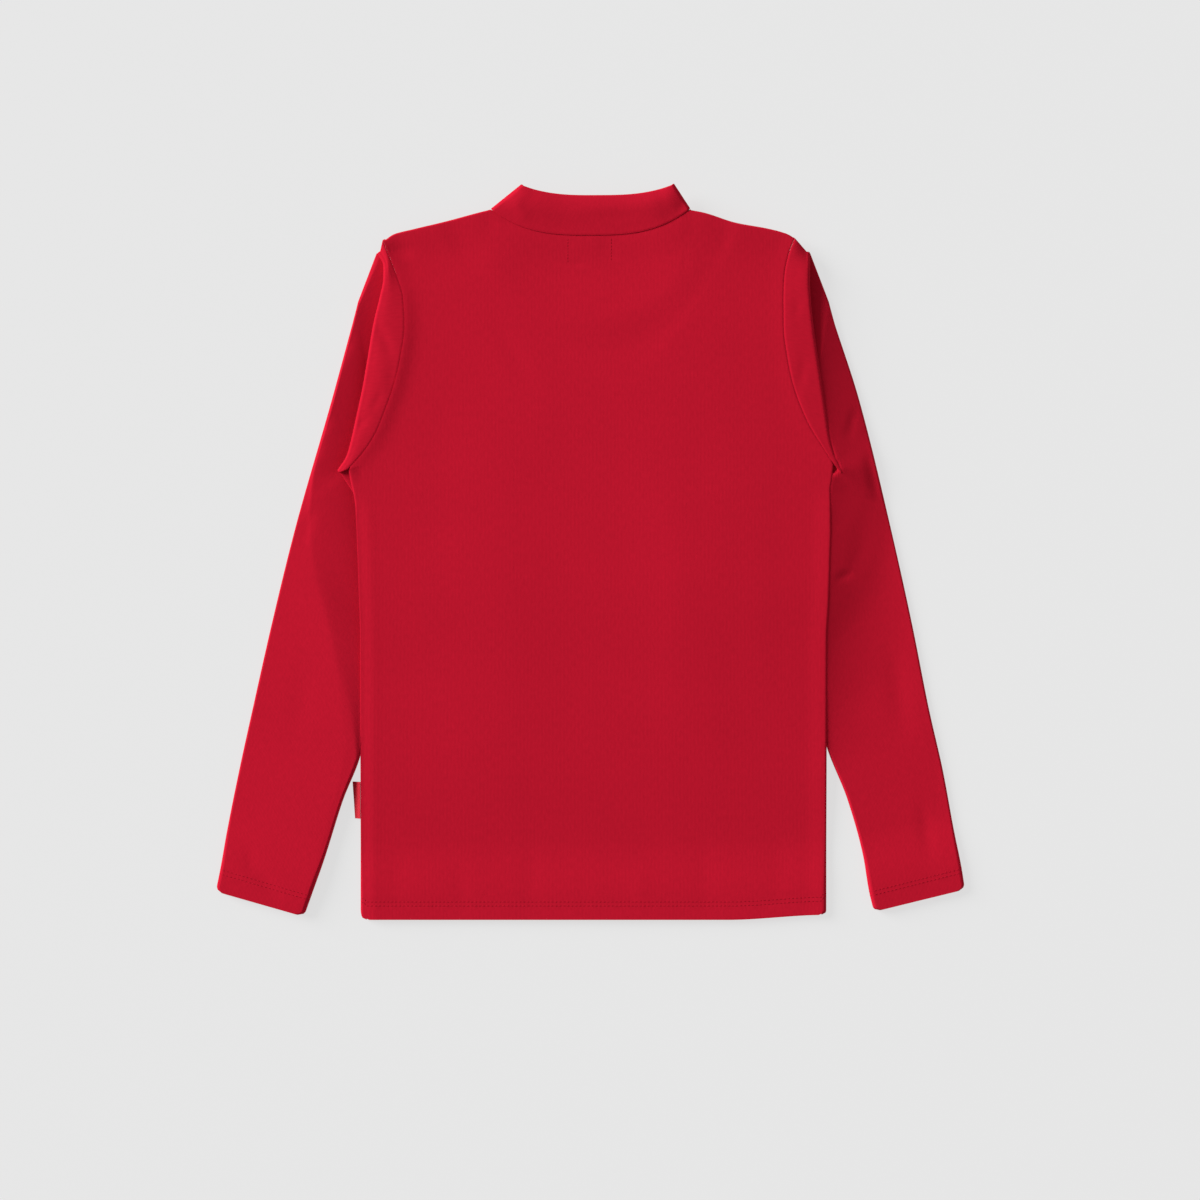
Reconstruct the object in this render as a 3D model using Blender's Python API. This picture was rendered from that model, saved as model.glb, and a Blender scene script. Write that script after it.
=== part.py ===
"""A plain fine-knit long-sleeved top with a stand collar, laid flat with its back uppermost.

Each sleeve is folded under the body along a ridge from the shoulder tip to the armpit, and a
hidden fold below the body turns it out again, so it lies along the side. Every piece is a wall
of cloth round a middle surface, which is worked out as a grid of points with normals.
Sizes are in millimetres and the meshes in metres. +X is to the right seen from above, +Y runs
from the hem to the collar, and +Z is up. "out" is a distance from the centre line.
"""

from collections import namedtuple

import bpy
import numpy as np

MM = 0.001

# Cloth
CLOTH = 1.2             # one layer of the knit
COLLAR_WALL = 2.2       # the collar band is the knit folded double
TURN_UP = 17.6          # depth of the hem and of the cuffs, where the knit is double
TURN_UP_WALL = 2 * CLOTH
TURN_UP_EASE = 45.0     # over this length the layers come together again past the turn-up
GAP = 0.3               # between pieces at a seam, and between layers that lie on each other
SEAM_LEAD = 1.5         # the last strip of a panel along a seam
CORNER_GAP = 0.85       # where a folded edge ends against the end of a seam
CORNER_BASE = 1.4

# Height of one sleeve, which is two layers, with the gap to what lies on it
LANE = 2 * CLOTH + 2 * GAP
FOLD_RADIUS = LANE / 2  # middle surface of a sleeve where it folds over itself
FLAT_HALF = (CLOTH + GAP) / 2
FOLD_REACH = FOLD_RADIUS + FLAT_HALF + CLOTH / 2

# Outline of the body
HEM_Y = -293.0
HEM_RISE = 4.0          # the hem's right corner lies this much higher
HEM_RISE_FROM = 110.0
SIDE_LOFT = 0.9         # extra room inside a side edge, which is rounded and not pressed flat
SIDE_LOFT_WIDTH = 16.0
SHOULDER_LOFT = 0.45    # the same along the shoulder edges
LOFT_CLEAR = 6.0        # the extra room ends this far before the armpit, and past the neck,
LOFT_FADE = 30.0        # and fades out over this length
SHOULDER_LEAN = 0.26    # how far the shoulder edges face outwards, for each unit upwards
SHOULDER_TURN = 0.2     # part of the shoulder's length over which they turn from the sleeve's seam
BEND_FROM = 0.5         # rows of the body above this part of its height bend towards the neck
LIFT_FULL_OUT = 146.0   # further out than this the body lies on the folded sleeves, and it
LIFT_NONE_OUT = 20.0    # comes down to the floor between here and there
LIFT_NECK_FADE = 62.0   # and over this distance towards the neck

# Collar
COLLAR_LOFT = 1.25      # extra room inside the neck, where the front of the collar lies
NECK_HALF = 77.8
NECK_X = 0.4
BACK_NECK_Y = 252.8
FRONT_NECK_Y = 214.0
NECK_END_Y = 272.4
TOP_HALF = 59.6
TOP_X = 6.0
BACK_TOP_Y = 284.4
FRONT_TOP_Y = 245.0
TOP_END_Y = 291.4
BACK_BOW = 3.0          # powers of the curves: the back neck is flat with steep ends
FRONT_BOW = 2.3

# Side label, a folded woven ribbon held in the left side seam, which slants a little
LABEL_TOP_Y = -182.8
LABEL_FOOT_Y = -212.2
LABEL_TOP_SHOWS = 6.6
LABEL_FOOT_SHOWS = 4.6
LABEL_WALL = 1.0
LABEL_LIES = 0.7        # height of the middle of its outer edge

RED = (0.462, 0.006, 0.020)
LABEL_RED = (0.50, 0.012, 0.024)

# Side edges of the body, from the hem to the armpit
Side = namedtuple("Side", "y left_out right_out")
SIDES = (
    Side(-293.0, 182.0, 188.2),
    Side(-285.0, 183.2, 188.8),
    Side(-69.6, 183.2, 188.8),
    Side(-37.6, 184.0, 190.4),
    Side(-5.6, 185.0, 191.3),
    Side(18.4, 186.0, 192.0),
    Side(36.0, 186.8, 191.8),
    Side(50.0, 189.0, 191.6),
    Side(62.0, 193.6, 193.8),
)

# Shoulder edges of the body, from the sleeve to the collar
Shoulder = namedtuple("Shoulder", "out left_y right_y")
SHOULDERS = (
    Shoulder(164.0, 248.9, 249.9),
    Shoulder(156.0, 254.2, 254.2),
    Shoulder(142.0, 257.8, 258.0),
    Shoulder(116.0, 264.0, 262.8),
    Shoulder(91.0, 270.6, 270.7),
    Shoulder(78.0, 273.9, 273.2),
)

# Sections across a sleeve from the cuff up, with the room between its two layers at each edge
Section = namedtuple("Section", "along inner_out inner_y outer_out outer_y inner_room outer_room")
SLEEVE_SECTIONS = {
    "left": (
        Section(0, 228.4, -290.2, 299.0, -270.2, 0.9, 0.9),
        Section(18, 222.2, -272.8, 295.2, -251.6, 1.2, 1.2),
        Section(45, 212.6, -245.6, 290.0, -221.6, 1.2, 1.2),
        Section(97, 197.4, -197.6, 280.4, -173.6, 1.0, 1.2),
        Section(148, 183.4, -161.6, 269.0, -121.6, 0.3, 1.2),
        Section(201, 173.6, -112.6, 254.6, -57.6, 0.3, 1.2),
        Section(260, 164.8, -65.6, 236.0, 18.4, 0.3, 1.0),
        Section(335, 158.8, -29.6, 206.4, 122.4, 0.3, 0.6),
        Section(380, 156.4, -14.0, 189.0, 186.4, 0.3, 0.3),
        Section(395, 155.4, -10.0, 181.4, 214.0, 0.3, 0.3),
    ),
    "right": (
        Section(0, 226.8, -286.4, 299.6, -268.6, 0.9, 0.9),
        Section(18, 222.8, -269.6, 296.8, -251.0, 1.2, 1.2),
        Section(45, 218.2, -241.6, 291.2, -223.2, 1.2, 1.2),
        Section(97, 206.0, -197.6, 282.2, -174.4, 1.0, 1.2),
        Section(148, 188.8, -153.6, 270.8, -124.0, 0.3, 1.2),
        Section(201, 178.4, -109.6, 257.6, -57.6, 0.3, 1.2),
        Section(260, 168.8, -65.6, 240.8, 18.4, 0.3, 1.0),
        Section(335, 162.4, -29.6, 215.2, 122.4, 0.3, 0.6),
        Section(380, 160.0, -14.0, 194.6, 186.4, 0.3, 0.3),
        Section(395, 159.0, -10.0, 185.8, 214.0, 0.3, 0.3),
    ),
}
# Distances from the cuff, along the sleeve, where it has a ring of points
SLEEVE_STATIONS = (0, 17.1, 18.1, 32, 60, 97, 124, 148, 175, 205, 245, 290, 335, 368, 388)

# Height of the body above the floor along its sides: two sleeve lanes over the folds, then one
Lift = namedtuple("Lift", "y height")
LIFTS = (
    Lift(-275.0, 0.0),
    Lift(-250.0, 0.25),
    Lift(-172.0, LANE),
    Lift(-110.0, 1.2 * LANE),
    Lift(-14.0, 2 * LANE),
    Lift(140.0, 2 * LANE),
    Lift(180.0, 1.92 * LANE),
    Lift(205.0, 1.75 * LANE),
    Lift(235.0, 1.35 * LANE),
    Lift(262.0, LANE),
)

# The sleeve's seam to the body and the ridge of its fold, from the armpit to the shoulder tip:
# how deep the fold goes under the body, and how far the cloth turns over
Fold = namedtuple("Fold", "seam_out seam_y ridge_out ridge_y depth turn")
SLEEVE_FOLDS = {
    "left": (
        Fold(192.0, 67.2, 201.0, 66.4, 84, 180),
        Fold(180.0, 80.8, 194.0, 77.6, 75, 180),
        Fold(170.8, 95.2, 190.0, 92.0, 64, 180),
        Fold(163.2, 113.6, 186.0, 110.4, 53, 180),
        Fold(156.2, 133.6, 181.6, 130.4, 42, 180),
        Fold(150.8, 156.8, 177.2, 156.0, 31, 180),
        Fold(147.8, 180.0, 172.8, 182.4, 20, 180),
        Fold(148.8, 202.4, 168.0, 202.4, 12, 180),
        Fold(153.2, 218.4, 164.8, 218.4, 3, 180),
        Fold(159.2, 234.4, 164.6, 228.8, 0, 140),
        Fold(164.6, 248.0, 168.6, 238.6, 0, 90),
    ),
    "right": (
        Fold(193.6, 71.2, 201.6, 65.6, 84, 180),
        Fold(183.2, 87.2, 195.2, 78.4, 75, 180),
        Fold(174.4, 101.6, 191.2, 92.0, 64, 180),
        Fold(167.2, 117.6, 188.4, 110.4, 53, 180),
        Fold(161.6, 133.6, 185.6, 128.8, 42, 180),
        Fold(156.8, 156.8, 182.0, 152.8, 31, 180),
        Fold(154.0, 180.0, 178.4, 178.4, 20, 180),
        Fold(153.9, 202.4, 176.0, 200.8, 12, 180),
        Fold(154.6, 220.0, 175.2, 215.2, 3, 180),
        Fold(157.6, 236.0, 175.2, 228.0, 0, 140),
        Fold(162.4, 249.2, 174.6, 238.6, 0, 90),
    ),
}
FOLD_RUN = np.array((-0.55, -0.835))   # out and y: how the cloth runs under the body
CRESCENT_ROWS = (0.35, 0.7, 1.0)       # rows of the part that shows, from the ridge to the seam
CRESCENT_DOME = 0.055                  # it bulges up by this part of its width

# Distances from the hem where the body has a row of points, and that of the armpit
BODY_ROWS = (0, 17.1, 18.1, 32, 62, 92, 120, 140, 160, 190, 222, 250, 275, 296, 314, 330, 345)
ARMPIT_ROW = 359.0
SHOULDER_COLUMNS = (0, 0.07, 0.19, 0.34, 0.52, 0.74)
NECK_POINTS = 13
NECK_CROWDING = 0.86    # the points stand closer together at the ends of the neck
NECK_SWEEP = np.linspace(-1, 1, NECK_POINTS) * np.pi / 2 * NECK_CROWDING
NECK_COLUMNS = np.sin(NECK_SWEEP) / np.sin(NECK_SWEEP[-1])
COLLAR_ROWS = 6
LABEL_ROWS = 5
LABEL_COLUMNS = 4
CURL = np.radians((40.0, 90.0))        # a folded edge turns through these angles
END_CAP = np.radians((45.0, 90.0, 135.0))
FOLD_STEPS = 5
SHARP_ANGLE = 50.0      # edges that turn more than this are shaded as edges

SIDE_SIGN = {"left": -1.0, "right": 1.0}
UP = np.array((0.0, 0.0, 1.0))


def clear_scene():
    """Remove whatever objects the file starts with."""
    for thing in list(bpy.data.objects):
        bpy.data.objects.remove(thing, do_unlink=True)


def unit(vectors):
    """Scale vectors along the last axis to length 1."""
    return vectors / np.linalg.norm(vectors, axis=-1, keepdims=True)


def ease(value):
    """Go smoothly from 0 at 0 to 1 at 1, and stay level outside that."""
    t = np.clip(value, 0.0, 1.0)
    return t * t * (3.0 - 2.0 * t)


def column(table, name):
    """One named column of a table as an array."""
    return np.array([getattr(row, name) for row in table], float)


def curve(knots, values, at):
    """A smooth curve through the values that never overshoots them.

    Between knots it is a cubic. Its slope at a knot is the harmonic mean of the slopes on either
    side, or 0 where they differ in sign.
    """
    gaps = np.diff(knots)
    chords = np.diff(values, axis=0) / (gaps[:, None] if values.ndim > 1 else gaps)
    before, after = chords[:-1], chords[1:]
    both = np.where(before * after > 0, before + after, 1.0)
    mean = np.where(before * after > 0, 2 * before * after / both, 0.0)
    slopes = np.concatenate((chords[:1], mean, chords[-1:]))
    at = np.clip(at, knots[0], knots[-1])
    i = np.clip(np.searchsorted(knots, at, side="right") - 1, 0, len(knots) - 2)
    step = gaps[i]
    t = (at - knots[i]) / step
    if values.ndim > 1:
        step = step[..., None]
        t = t[..., None]
    return ((2 * t**3 - 3 * t**2 + 1) * values[i] + (t**3 - 2 * t**2 + t) * step * slopes[i]
            + (3 * t**2 - 2 * t**3) * values[i + 1] + (t**3 - t**2) * step * slopes[i + 1])


def run_length(points):
    """Distance along a line of points, from 0 at the first to 1 at the last."""
    steps = np.linalg.norm(np.diff(points, axis=0), axis=1)
    total = np.concatenate(((0.0,), np.cumsum(steps)))
    return total / total[-1]


def beside(points):
    """Unit normals in plan of a line of points, to the left of its direction."""
    tangent = unit(np.gradient(points, axis=0))
    return np.stack((-tangent[:, 1], tangent[:, 0]), axis=1)


def wall_solid(name, middle, normal, wall, material, around=False):
    """Make a closed wall: half its thickness each side of a grid of middle points.

    middle and normal are rows x columns x 3, wall is a thickness or rows x columns of them.
    With around set, the last column joins the first, so that the wall is a tube.
    """
    rows, columns = middle.shape[:2]
    half = np.broadcast_to(np.asarray(wall, float) / 2, (rows, columns))[..., None]
    outer = middle + normal * half
    inner = middle - normal * half
    points = np.concatenate((outer.reshape(-1, 3), inner.reshape(-1, 3))) * MM
    index = np.arange(rows * columns).reshape(rows, columns)
    if around:
        index = np.concatenate((index, index[:, :1]), axis=1)
    under = index + rows * columns
    sides = [cells(index), cells(under)[:, ::-1]]
    sides.append(cells(np.stack((index[0], under[0])))[:, ::-1])
    sides.append(cells(np.stack((index[-1], under[-1]))))
    if not around:
        sides.append(cells(np.stack((index[:, 0], under[:, 0]))))
        sides.append(cells(np.stack((index[:, -1], under[:, -1])))[:, ::-1])
    faces = np.concatenate(sides)
    if volume(points, faces) < 0:
        faces = faces[:, ::-1]
    mesh = bpy.data.meshes.new(name)
    mesh.from_pydata(points.tolist(), [], faces.tolist())
    mesh.update()
    mesh.materials.append(material)
    mesh.shade_smooth()
    mesh.set_sharp_from_angle(angle=np.radians(SHARP_ANGLE))
    solid = bpy.data.objects.new(name, mesh)
    bpy.context.scene.collection.objects.link(solid)
    return solid


def cells(index):
    """Two triangles for each cell of a grid of point numbers, all split the same way."""
    a, b, c, d = index[:-1, :-1], index[:-1, 1:], index[1:, 1:], index[1:, :-1]
    return np.concatenate((np.stack((a, b, c), -1), np.stack((a, c, d), -1))).reshape(-1, 3)


def volume(points, faces):
    """Signed volume inside the faces, which is positive when they point out."""
    a, b, c = (points[faces[:, i]] for i in range(3))
    return (a * np.cross(b, c)).sum() / 6


def cloth_material(name, colour, roughness):
    """Matt dyed cloth."""
    material = bpy.data.materials.new(name)
    material.use_nodes = True
    shader = material.node_tree.nodes["Principled BSDF"]
    shader.inputs["Base Color"].default_value = (*colour, 1.0)
    shader.inputs["Roughness"].default_value = roughness
    shader.inputs["Metallic"].default_value = 0.0
    material.diffuse_color = (*colour, 1.0)
    return material


def turn_up(distance):
    """Wall thickness, and extra room inside, at a distance from a hem's or cuff's edge."""
    double = distance < TURN_UP
    wall = np.where(double, TURN_UP_WALL, CLOTH)
    step = 2 * (TURN_UP_WALL - CLOTH)
    room = np.where(double, 0.0, step * (1 - ease((distance - TURN_UP) / TURN_UP_EASE)))
    return wall, room


class Sleeve:
    """The lines in plan that one sleeve is built on, in out and y."""

    def __init__(self, side):
        folds = SLEEVE_FOLDS[side]
        self.sign = SIDE_SIGN[side]
        self.sections = SLEEVE_SECTIONS[side]
        self.seam = np.stack((column(folds, "seam_out"), column(folds, "seam_y")), 1)
        self.turn = np.radians(column(folds, "turn"))
        ridge = np.stack((column(folds, "ridge_out"), column(folds, "ridge_y")), 1)
        self.inward = beside(ridge)
        self.seam_inward = beside(self.seam)
        self.ridge = ridge + self.inward * FOLD_REACH * np.sin(self.turn / 2)[:, None]
        step = 2 * FOLD_RADIUS * np.sin(self.turn)[:, None]
        run = FOLD_RUN * column(folds, "depth")[:, None]
        self.valley = self.ridge + run - self.inward * step
        self.rise = 2 * FOLD_RADIUS * (1 - np.cos(self.turn))
        self.across = run_length(self.valley)

    def edges(self, along):
        """The inner and outer edges of the flat sleeve, and the room inside at each."""
        knots = column(self.sections, "along")
        names = ("inner_out", "inner_y", "outer_out", "outer_y", "inner_room", "outer_room")
        values = np.stack([column(self.sections, name) for name in names], 1)
        found = curve(knots, values, np.asarray(along, float))
        return found[:, 0:2], found[:, 2:4], found[:, 4], found[:, 5]


SLEEVES = {side: Sleeve(side) for side in SIDE_SIGN}


def lift(points):
    """Height of the body's underside above the floor, where it lies on the folded sleeves.

    It falls in one long slope from where the sleeves lie to the middle of the body, to the neck
    and to the hem.
    """
    out, y = np.abs(points[..., 0]), points[..., 1]
    inwards = ease((out - LIFT_NONE_OUT) / (LIFT_FULL_OUT - LIFT_NONE_OUT))
    upwards = curve(column(LIFTS, "y"), column(LIFTS, "height"), y)
    from_neck = np.hypot(points[..., 0] - NECK_X, y - NECK_END_Y) - NECK_HALF - LOFT_CLEAR
    return upwards * inwards * ease(from_neck / LIFT_NECK_FADE)


def sleeve_middle(sleeve):
    """The sleeve's middle surface as rings: points, normals, and half the layers' spacing."""
    inner, outer, inner_room, outer_room = sleeve.edges(SLEEVE_STATIONS)
    wall, ease_room = turn_up(np.array(SLEEVE_STATIONS, float))
    room = inner_room[:, None] + (outer_room - inner_room)[:, None] * sleeve.across
    room = room + ease_room[:, None]
    half = (wall[:, None] + room) / 2
    reach = half + wall[:, None] / 2
    line = unit(outer - inner)
    start = inner + line * reach[:, :1]
    end = outer - line * reach[:, -1:]
    plan = start[:, None] + (end - start)[:, None] * sleeve.across[:, None]
    height = wall[:, None] + room / 2
    rings = [np.concatenate((plan, height[..., None]), -1)]
    normals = [np.broadcast_to(UP, rings[0].shape)]
    halves = [half]
    walls = [np.repeat(wall[:, None], len(sleeve.across), 1)]

    def add(place, level, normal):
        ring = np.concatenate((place, level[:, None]), 1)
        rings.append(ring[None])
        normals.append(normal[None])
        halves.append(np.full((1, len(ring)), FLAT_HALF))
        walls.append(np.full((1, len(ring)), CLOTH))

    def tilt(angle):
        side = -np.sin(angle)[:, None] * sleeve.inward
        return np.concatenate((side, np.cos(angle)[:, None]), 1)

    floor_level = np.full(len(sleeve.turn), CLOTH + GAP / 2)
    for part in np.linspace(0, 1, FOLD_STEPS + 1):
        angle = sleeve.turn * part
        place = sleeve.valley + sleeve.inward * (FOLD_RADIUS * np.sin(angle))[:, None]
        add(place, floor_level + FOLD_RADIUS * (1 - np.cos(angle)), tilt(angle))
    first = rings[-1][0]
    for part in np.linspace(0, 1, FOLD_STEPS + 1):
        angle = sleeve.turn * (1 - part)
        left_to_go = sleeve.inward * (FOLD_RADIUS * np.sin(angle))[:, None]
        place = sleeve.ridge - left_to_go
        level = floor_level + sleeve.rise - FOLD_RADIUS * (1 - np.cos(angle))
        add(place, level, tilt(angle))
    middle = (first + rings[-FOLD_STEPS - 1][0]) / 2
    halfway = tilt(sleeve.turn)
    spot = len(rings) - FOLD_STEPS - 1
    rings.insert(spot, middle[None])
    normals.insert(spot, halfway[None])
    halves.insert(spot, halves[-1])
    walls.insert(spot, walls[-1])

    seam = sleeve.seam - sleeve.seam_inward * GAP / 2
    seam_level = floor_level + lift(sleeve.seam * (sleeve.sign, 1.0))
    ridge_level = floor_level + sleeve.rise
    flat_normal = np.broadcast_to(UP, (len(seam), 3))
    dome = CRESCENT_DOME * np.linalg.norm(seam - sleeve.ridge, axis=1)
    for part in CRESCENT_ROWS:
        place = sleeve.ridge + (seam - sleeve.ridge) * part
        level = ridge_level + (seam_level - ridge_level) * ease(part)
        add(place, level + dome * np.sin(np.pi * part), flat_normal)
    return [np.concatenate(items) for items in (rings, normals, halves, walls)]


def flat_tube(middle, normal, half):
    """A flattened tube round a middle surface: top layer, rounded end, bottom layer, other end."""
    spread = half[..., None]
    top = middle + normal * spread
    bottom = middle - normal * spread
    loops = [top]
    directions = [normal]
    for end, neighbour, angles in ((-1, -2, END_CAP), (0, 1, END_CAP + np.pi)):
        away = middle[:, end] - middle[:, neighbour]
        away = away - normal[:, end] * (away * normal[:, end]).sum(-1, keepdims=True)
        away = unit(away)
        sign = 1.0 if end == -1 else -1.0
        for angle in angles:
            direction = np.cos(angle) * normal[:, end] + sign * np.sin(angle) * away
            loops.append((middle[:, end] + direction * spread[:, end])[:, None])
            directions.append(direction[:, None])
        if end == -1:
            loops.append(bottom[:, ::-1])
            directions.append(-normal[:, ::-1])
    return np.concatenate(loops, 1), np.concatenate(directions, 1)


def make_sleeve(side, material):
    """One sleeve: cuff, flat arm, the two folds below the body, and the head up to its seam."""
    middle, normal, half, wall = sleeve_middle(SLEEVES[side])
    points, directions = flat_tube(middle, normal, half)
    flip = np.array((SIDE_SIGN[side], 1.0, 1.0))
    caps = len(END_CAP)
    walls = np.concatenate((wall, np.repeat(wall[:, -1:], caps, 1), wall[:, ::-1],
                            np.repeat(wall[:, :1], caps, 1)), 1)
    return wall_solid("sleeve_" + side, points * flip, directions * flip, walls, material, around=True)


def neck_line(across, middle_y, end_y, half_width, centre_x, power):
    """A bowl-shaped line across the neck, for across from -1 to 1."""
    y = middle_y + (end_y - middle_y) * np.abs(across) ** power
    return np.stack((centre_x + half_width * across, y), 1)


def collar_rings(steps):
    """Plan lines of the collar's back and front halves, from the neck seam to the top edge."""
    back, front = [], []
    for part in steps:
        half_width = NECK_HALF + (TOP_HALF - NECK_HALF) * part
        centre = NECK_X + (TOP_X - NECK_X) * part
        end_y = NECK_END_Y + (TOP_END_Y - NECK_END_Y) * part
        back_y = BACK_NECK_Y + (BACK_TOP_Y - BACK_NECK_Y) * part
        front_y = FRONT_NECK_Y + (FRONT_TOP_Y - FRONT_NECK_Y) * part
        back.append(neck_line(NECK_COLUMNS, back_y, end_y, half_width, centre, BACK_BOW))
        front.append(neck_line(NECK_COLUMNS, front_y, end_y, half_width, centre, FRONT_BOW))
    return np.array(back), np.array(front)


def collar_past(back, front, end):
    """The direction in which each ring of the collar runs out at its left (0) or right (-1) end."""
    other = 1 if end == 0 else -2
    return unit(back[:, end, :2] - back[:, other, :2] + front[:, end, :2] - front[:, other, :2])


def make_collar(material):
    """The stand collar: a band of double knit, closed all round and flattened."""
    back, front = collar_rings(np.linspace(0, 1, COLLAR_ROWS))
    low = COLLAR_WALL / 2
    high = COLLAR_WALL + GAP + COLLAR_WALL / 2
    half = (high - low) / 2
    back = np.concatenate((back, np.full(back.shape[:2] + (1,), high)), -1)
    front = np.concatenate((front, np.full(front.shape[:2] + (1,), low)), -1)
    loops = [back]
    directions = [np.broadcast_to(UP, back.shape)]
    for end in (-1, 0):
        centre = (back[:, end] + front[:, end]) / 2
        away = collar_past(back, front, end)
        away = np.concatenate((away, np.zeros((len(away), 1))), 1)
        for angle in END_CAP if end == -1 else END_CAP[::-1]:
            direction = np.cos(angle) * UP + np.sin(angle) * away
            loops.append((centre + direction * half)[:, None])
            directions.append(direction[:, None])
        if end == -1:
            loops.append(front[:, ::-1])
            directions.append(np.broadcast_to(-UP, front.shape))
    return wall_solid("collar", np.concatenate(loops, 1), np.concatenate(directions, 1),
                      COLLAR_WALL, material, around=True)


def make_label(material):
    """The blank side label, which stands out of the left side seam."""
    side = np.interp(LABEL_TOP_Y, column(SIDES, "y"), column(SIDES, "left_out"))
    down, across = np.meshgrid(np.linspace(0, 1, LABEL_ROWS), np.linspace(0, 1, LABEL_COLUMNS),
                               indexing="ij")
    y = LABEL_TOP_Y + (LABEL_FOOT_Y - LABEL_TOP_Y) * down
    shows = LABEL_TOP_SHOWS + (LABEL_FOOT_SHOWS - LABEL_TOP_SHOWS) * down
    out = side + GAP + shows * across
    seam_level = lift(np.stack((np.full_like(y, -side), y), -1)) + CLOTH + (GAP + SIDE_LOFT) / 2
    z = seam_level + (LABEL_LIES - seam_level) * ease(across)
    middle = np.stack((-out, y, z), -1)
    normal = np.broadcast_to(UP, middle.shape)
    return wall_solid("side_label", middle, normal, LABEL_WALL, material)


def body_sides():
    """For each side: the main grid's edge, the middle line's true edge, curl, and its direction.

    Below the armpit the edge curls over to meet the other panel. Above it the edge runs along
    the sleeve's seam, and at the armpit itself it curls past the end of that seam.
    """
    edges = {}
    hem = {"left": HEM_Y, "right": HEM_Y + HEM_RISE}
    for side, sleeve in SLEEVES.items():
        pit = sleeve.seam[0]
        rows = hem[side] + np.array(BODY_ROWS) * (pit[1] - hem[side]) / ARMPIT_ROW
        out = curve(column(SIDES, "y"), column(SIDES, side + "_out"), rows)
        outline = np.stack((out, rows), 1)
        wall, room = turn_up(np.array(BODY_ROWS, float))
        half = (wall + room + GAP + SIDE_LOFT) / 2
        away = -beside(outline)
        base = outline - away * (half + wall / 2)[:, None]
        true = base + away * half[:, None]
        seam_away = -sleeve.seam_inward
        past = unit(sleeve.seam[:1] - sleeve.seam[1:2])
        seam_base = sleeve.seam + sleeve.seam_inward * (GAP / 2 + SEAM_LEAD)
        seam_true = sleeve.seam + sleeve.seam_inward * GAP / 2
        seam_base[0] = sleeve.seam[0] + sleeve.seam_inward[0] * CORNER_BASE
        seam_true[0] = sleeve.seam[0] + sleeve.seam_inward[0] * CORNER_GAP + past[0] * FLAT_HALF
        seam_away[0] = unit(seam_true[0] - seam_base[0])
        curl = np.concatenate((np.ones(len(rows) + 1), np.zeros(len(sleeve.seam) - 1)))
        flip = np.array((sleeve.sign, 1.0))
        edges[side] = (np.concatenate((base, seam_base)) * flip,
                       np.concatenate((true, seam_true)) * flip,
                       curl, np.concatenate((away, seam_away)) * flip)
    return edges


def neck_edge(neck_y, bow):
    """A panel's edge along the neck seam, left to right, as body_sides gives an edge."""
    neck = neck_line(NECK_COLUMNS, neck_y, NECK_END_Y, NECK_HALF, NECK_X, bow)
    away = beside(neck)
    base = neck - away * (GAP / 2 + SEAM_LEAD)
    true = neck - away * GAP / 2
    curl = np.zeros(len(neck))
    back, front = collar_rings((0.0,))
    for end, turn in ((0, -1.0), (-1, 1.0)):
        past = collar_past(back, front, end)[0]
        clear = np.array((past[1], -past[0])) * turn
        base[end] = neck[end] + clear * CORNER_BASE
        true[end] = neck[end] + clear * CORNER_GAP + past * (CLOTH + GAP + COLLAR_LOFT) / 2
        away[end] = unit(true[end] - base[end])
        curl[end] = 1.0
    return base, true, curl, away


def shoulder_edge(side, corner):
    """A panel's edge along one shoulder, from the sleeve's seam to the corner of the neck."""
    sleeve = SLEEVES[side]
    flip = np.array((sleeve.sign, 1.0))
    tip = sleeve.seam[-1] + sleeve.seam_inward[-1] * (GAP / 2 + SEAM_LEAD)
    part = np.array(SHOULDER_COLUMNS)
    out = tip[0] + (corner[0] * sleeve.sign - tip[0]) * part
    y = curve(column(SHOULDERS, "out")[::-1], column(SHOULDERS, side + "_y")[::-1], out)
    tip_away = unit(sleeve.seam[-1] - sleeve.seam[-2])
    line_away = unit(np.array((SHOULDER_LEAN, 1.0)))
    away = unit(tip_away + (line_away - tip_away) * ease(part / SHOULDER_TURN)[:, None])
    half = (CLOTH + GAP + SHOULDER_LOFT) / 2
    base = np.stack((out, y), 1) - away * (half + CLOTH / 2)
    base[0] = tip
    return base * flip, (base + away * half) * flip, np.ones(len(out)), away * flip


def body_top(neck_y, bow):
    """The top edge of a panel, left to right: shoulder, neck seam, shoulder, as body_sides gives."""
    neck = neck_edge(neck_y, bow)
    left = shoulder_edge("left", neck[0][0])
    right = shoulder_edge("right", neck[0][-1])
    return [np.concatenate((a, b, c[::-1])) for a, b, c in zip(left, neck, right)]


def hem_line(x):
    """The hem's height in plan: level, and higher towards the right corner."""
    return HEM_Y + HEM_RISE * ease((x - HEM_RISE_FROM) / (column(SIDES, "right_out")[0] - HEM_RISE_FROM))


def patch(left, right, bottom, top, u):
    """A grid of plan points inside four edge lines, at parts u of the way across.

    Each row runs straight from side to side, plus what the bottom and top edges bend away from
    straight, which fades out towards the middle rows.
    """
    u = u[None, :, None]
    v = (run_length(left) + run_length(right))[:, None, None] / 2
    rows = (1 - u) * left[:, None] + u * right[:, None]
    bend_up = top[None] - rows[-1]
    bend_down = bottom[None] - rows[0]
    return rows + bend_up * ease((v - BEND_FROM) / (1 - BEND_FROM)) + bend_down * (1 - ease(v / BEND_FROM))


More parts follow.
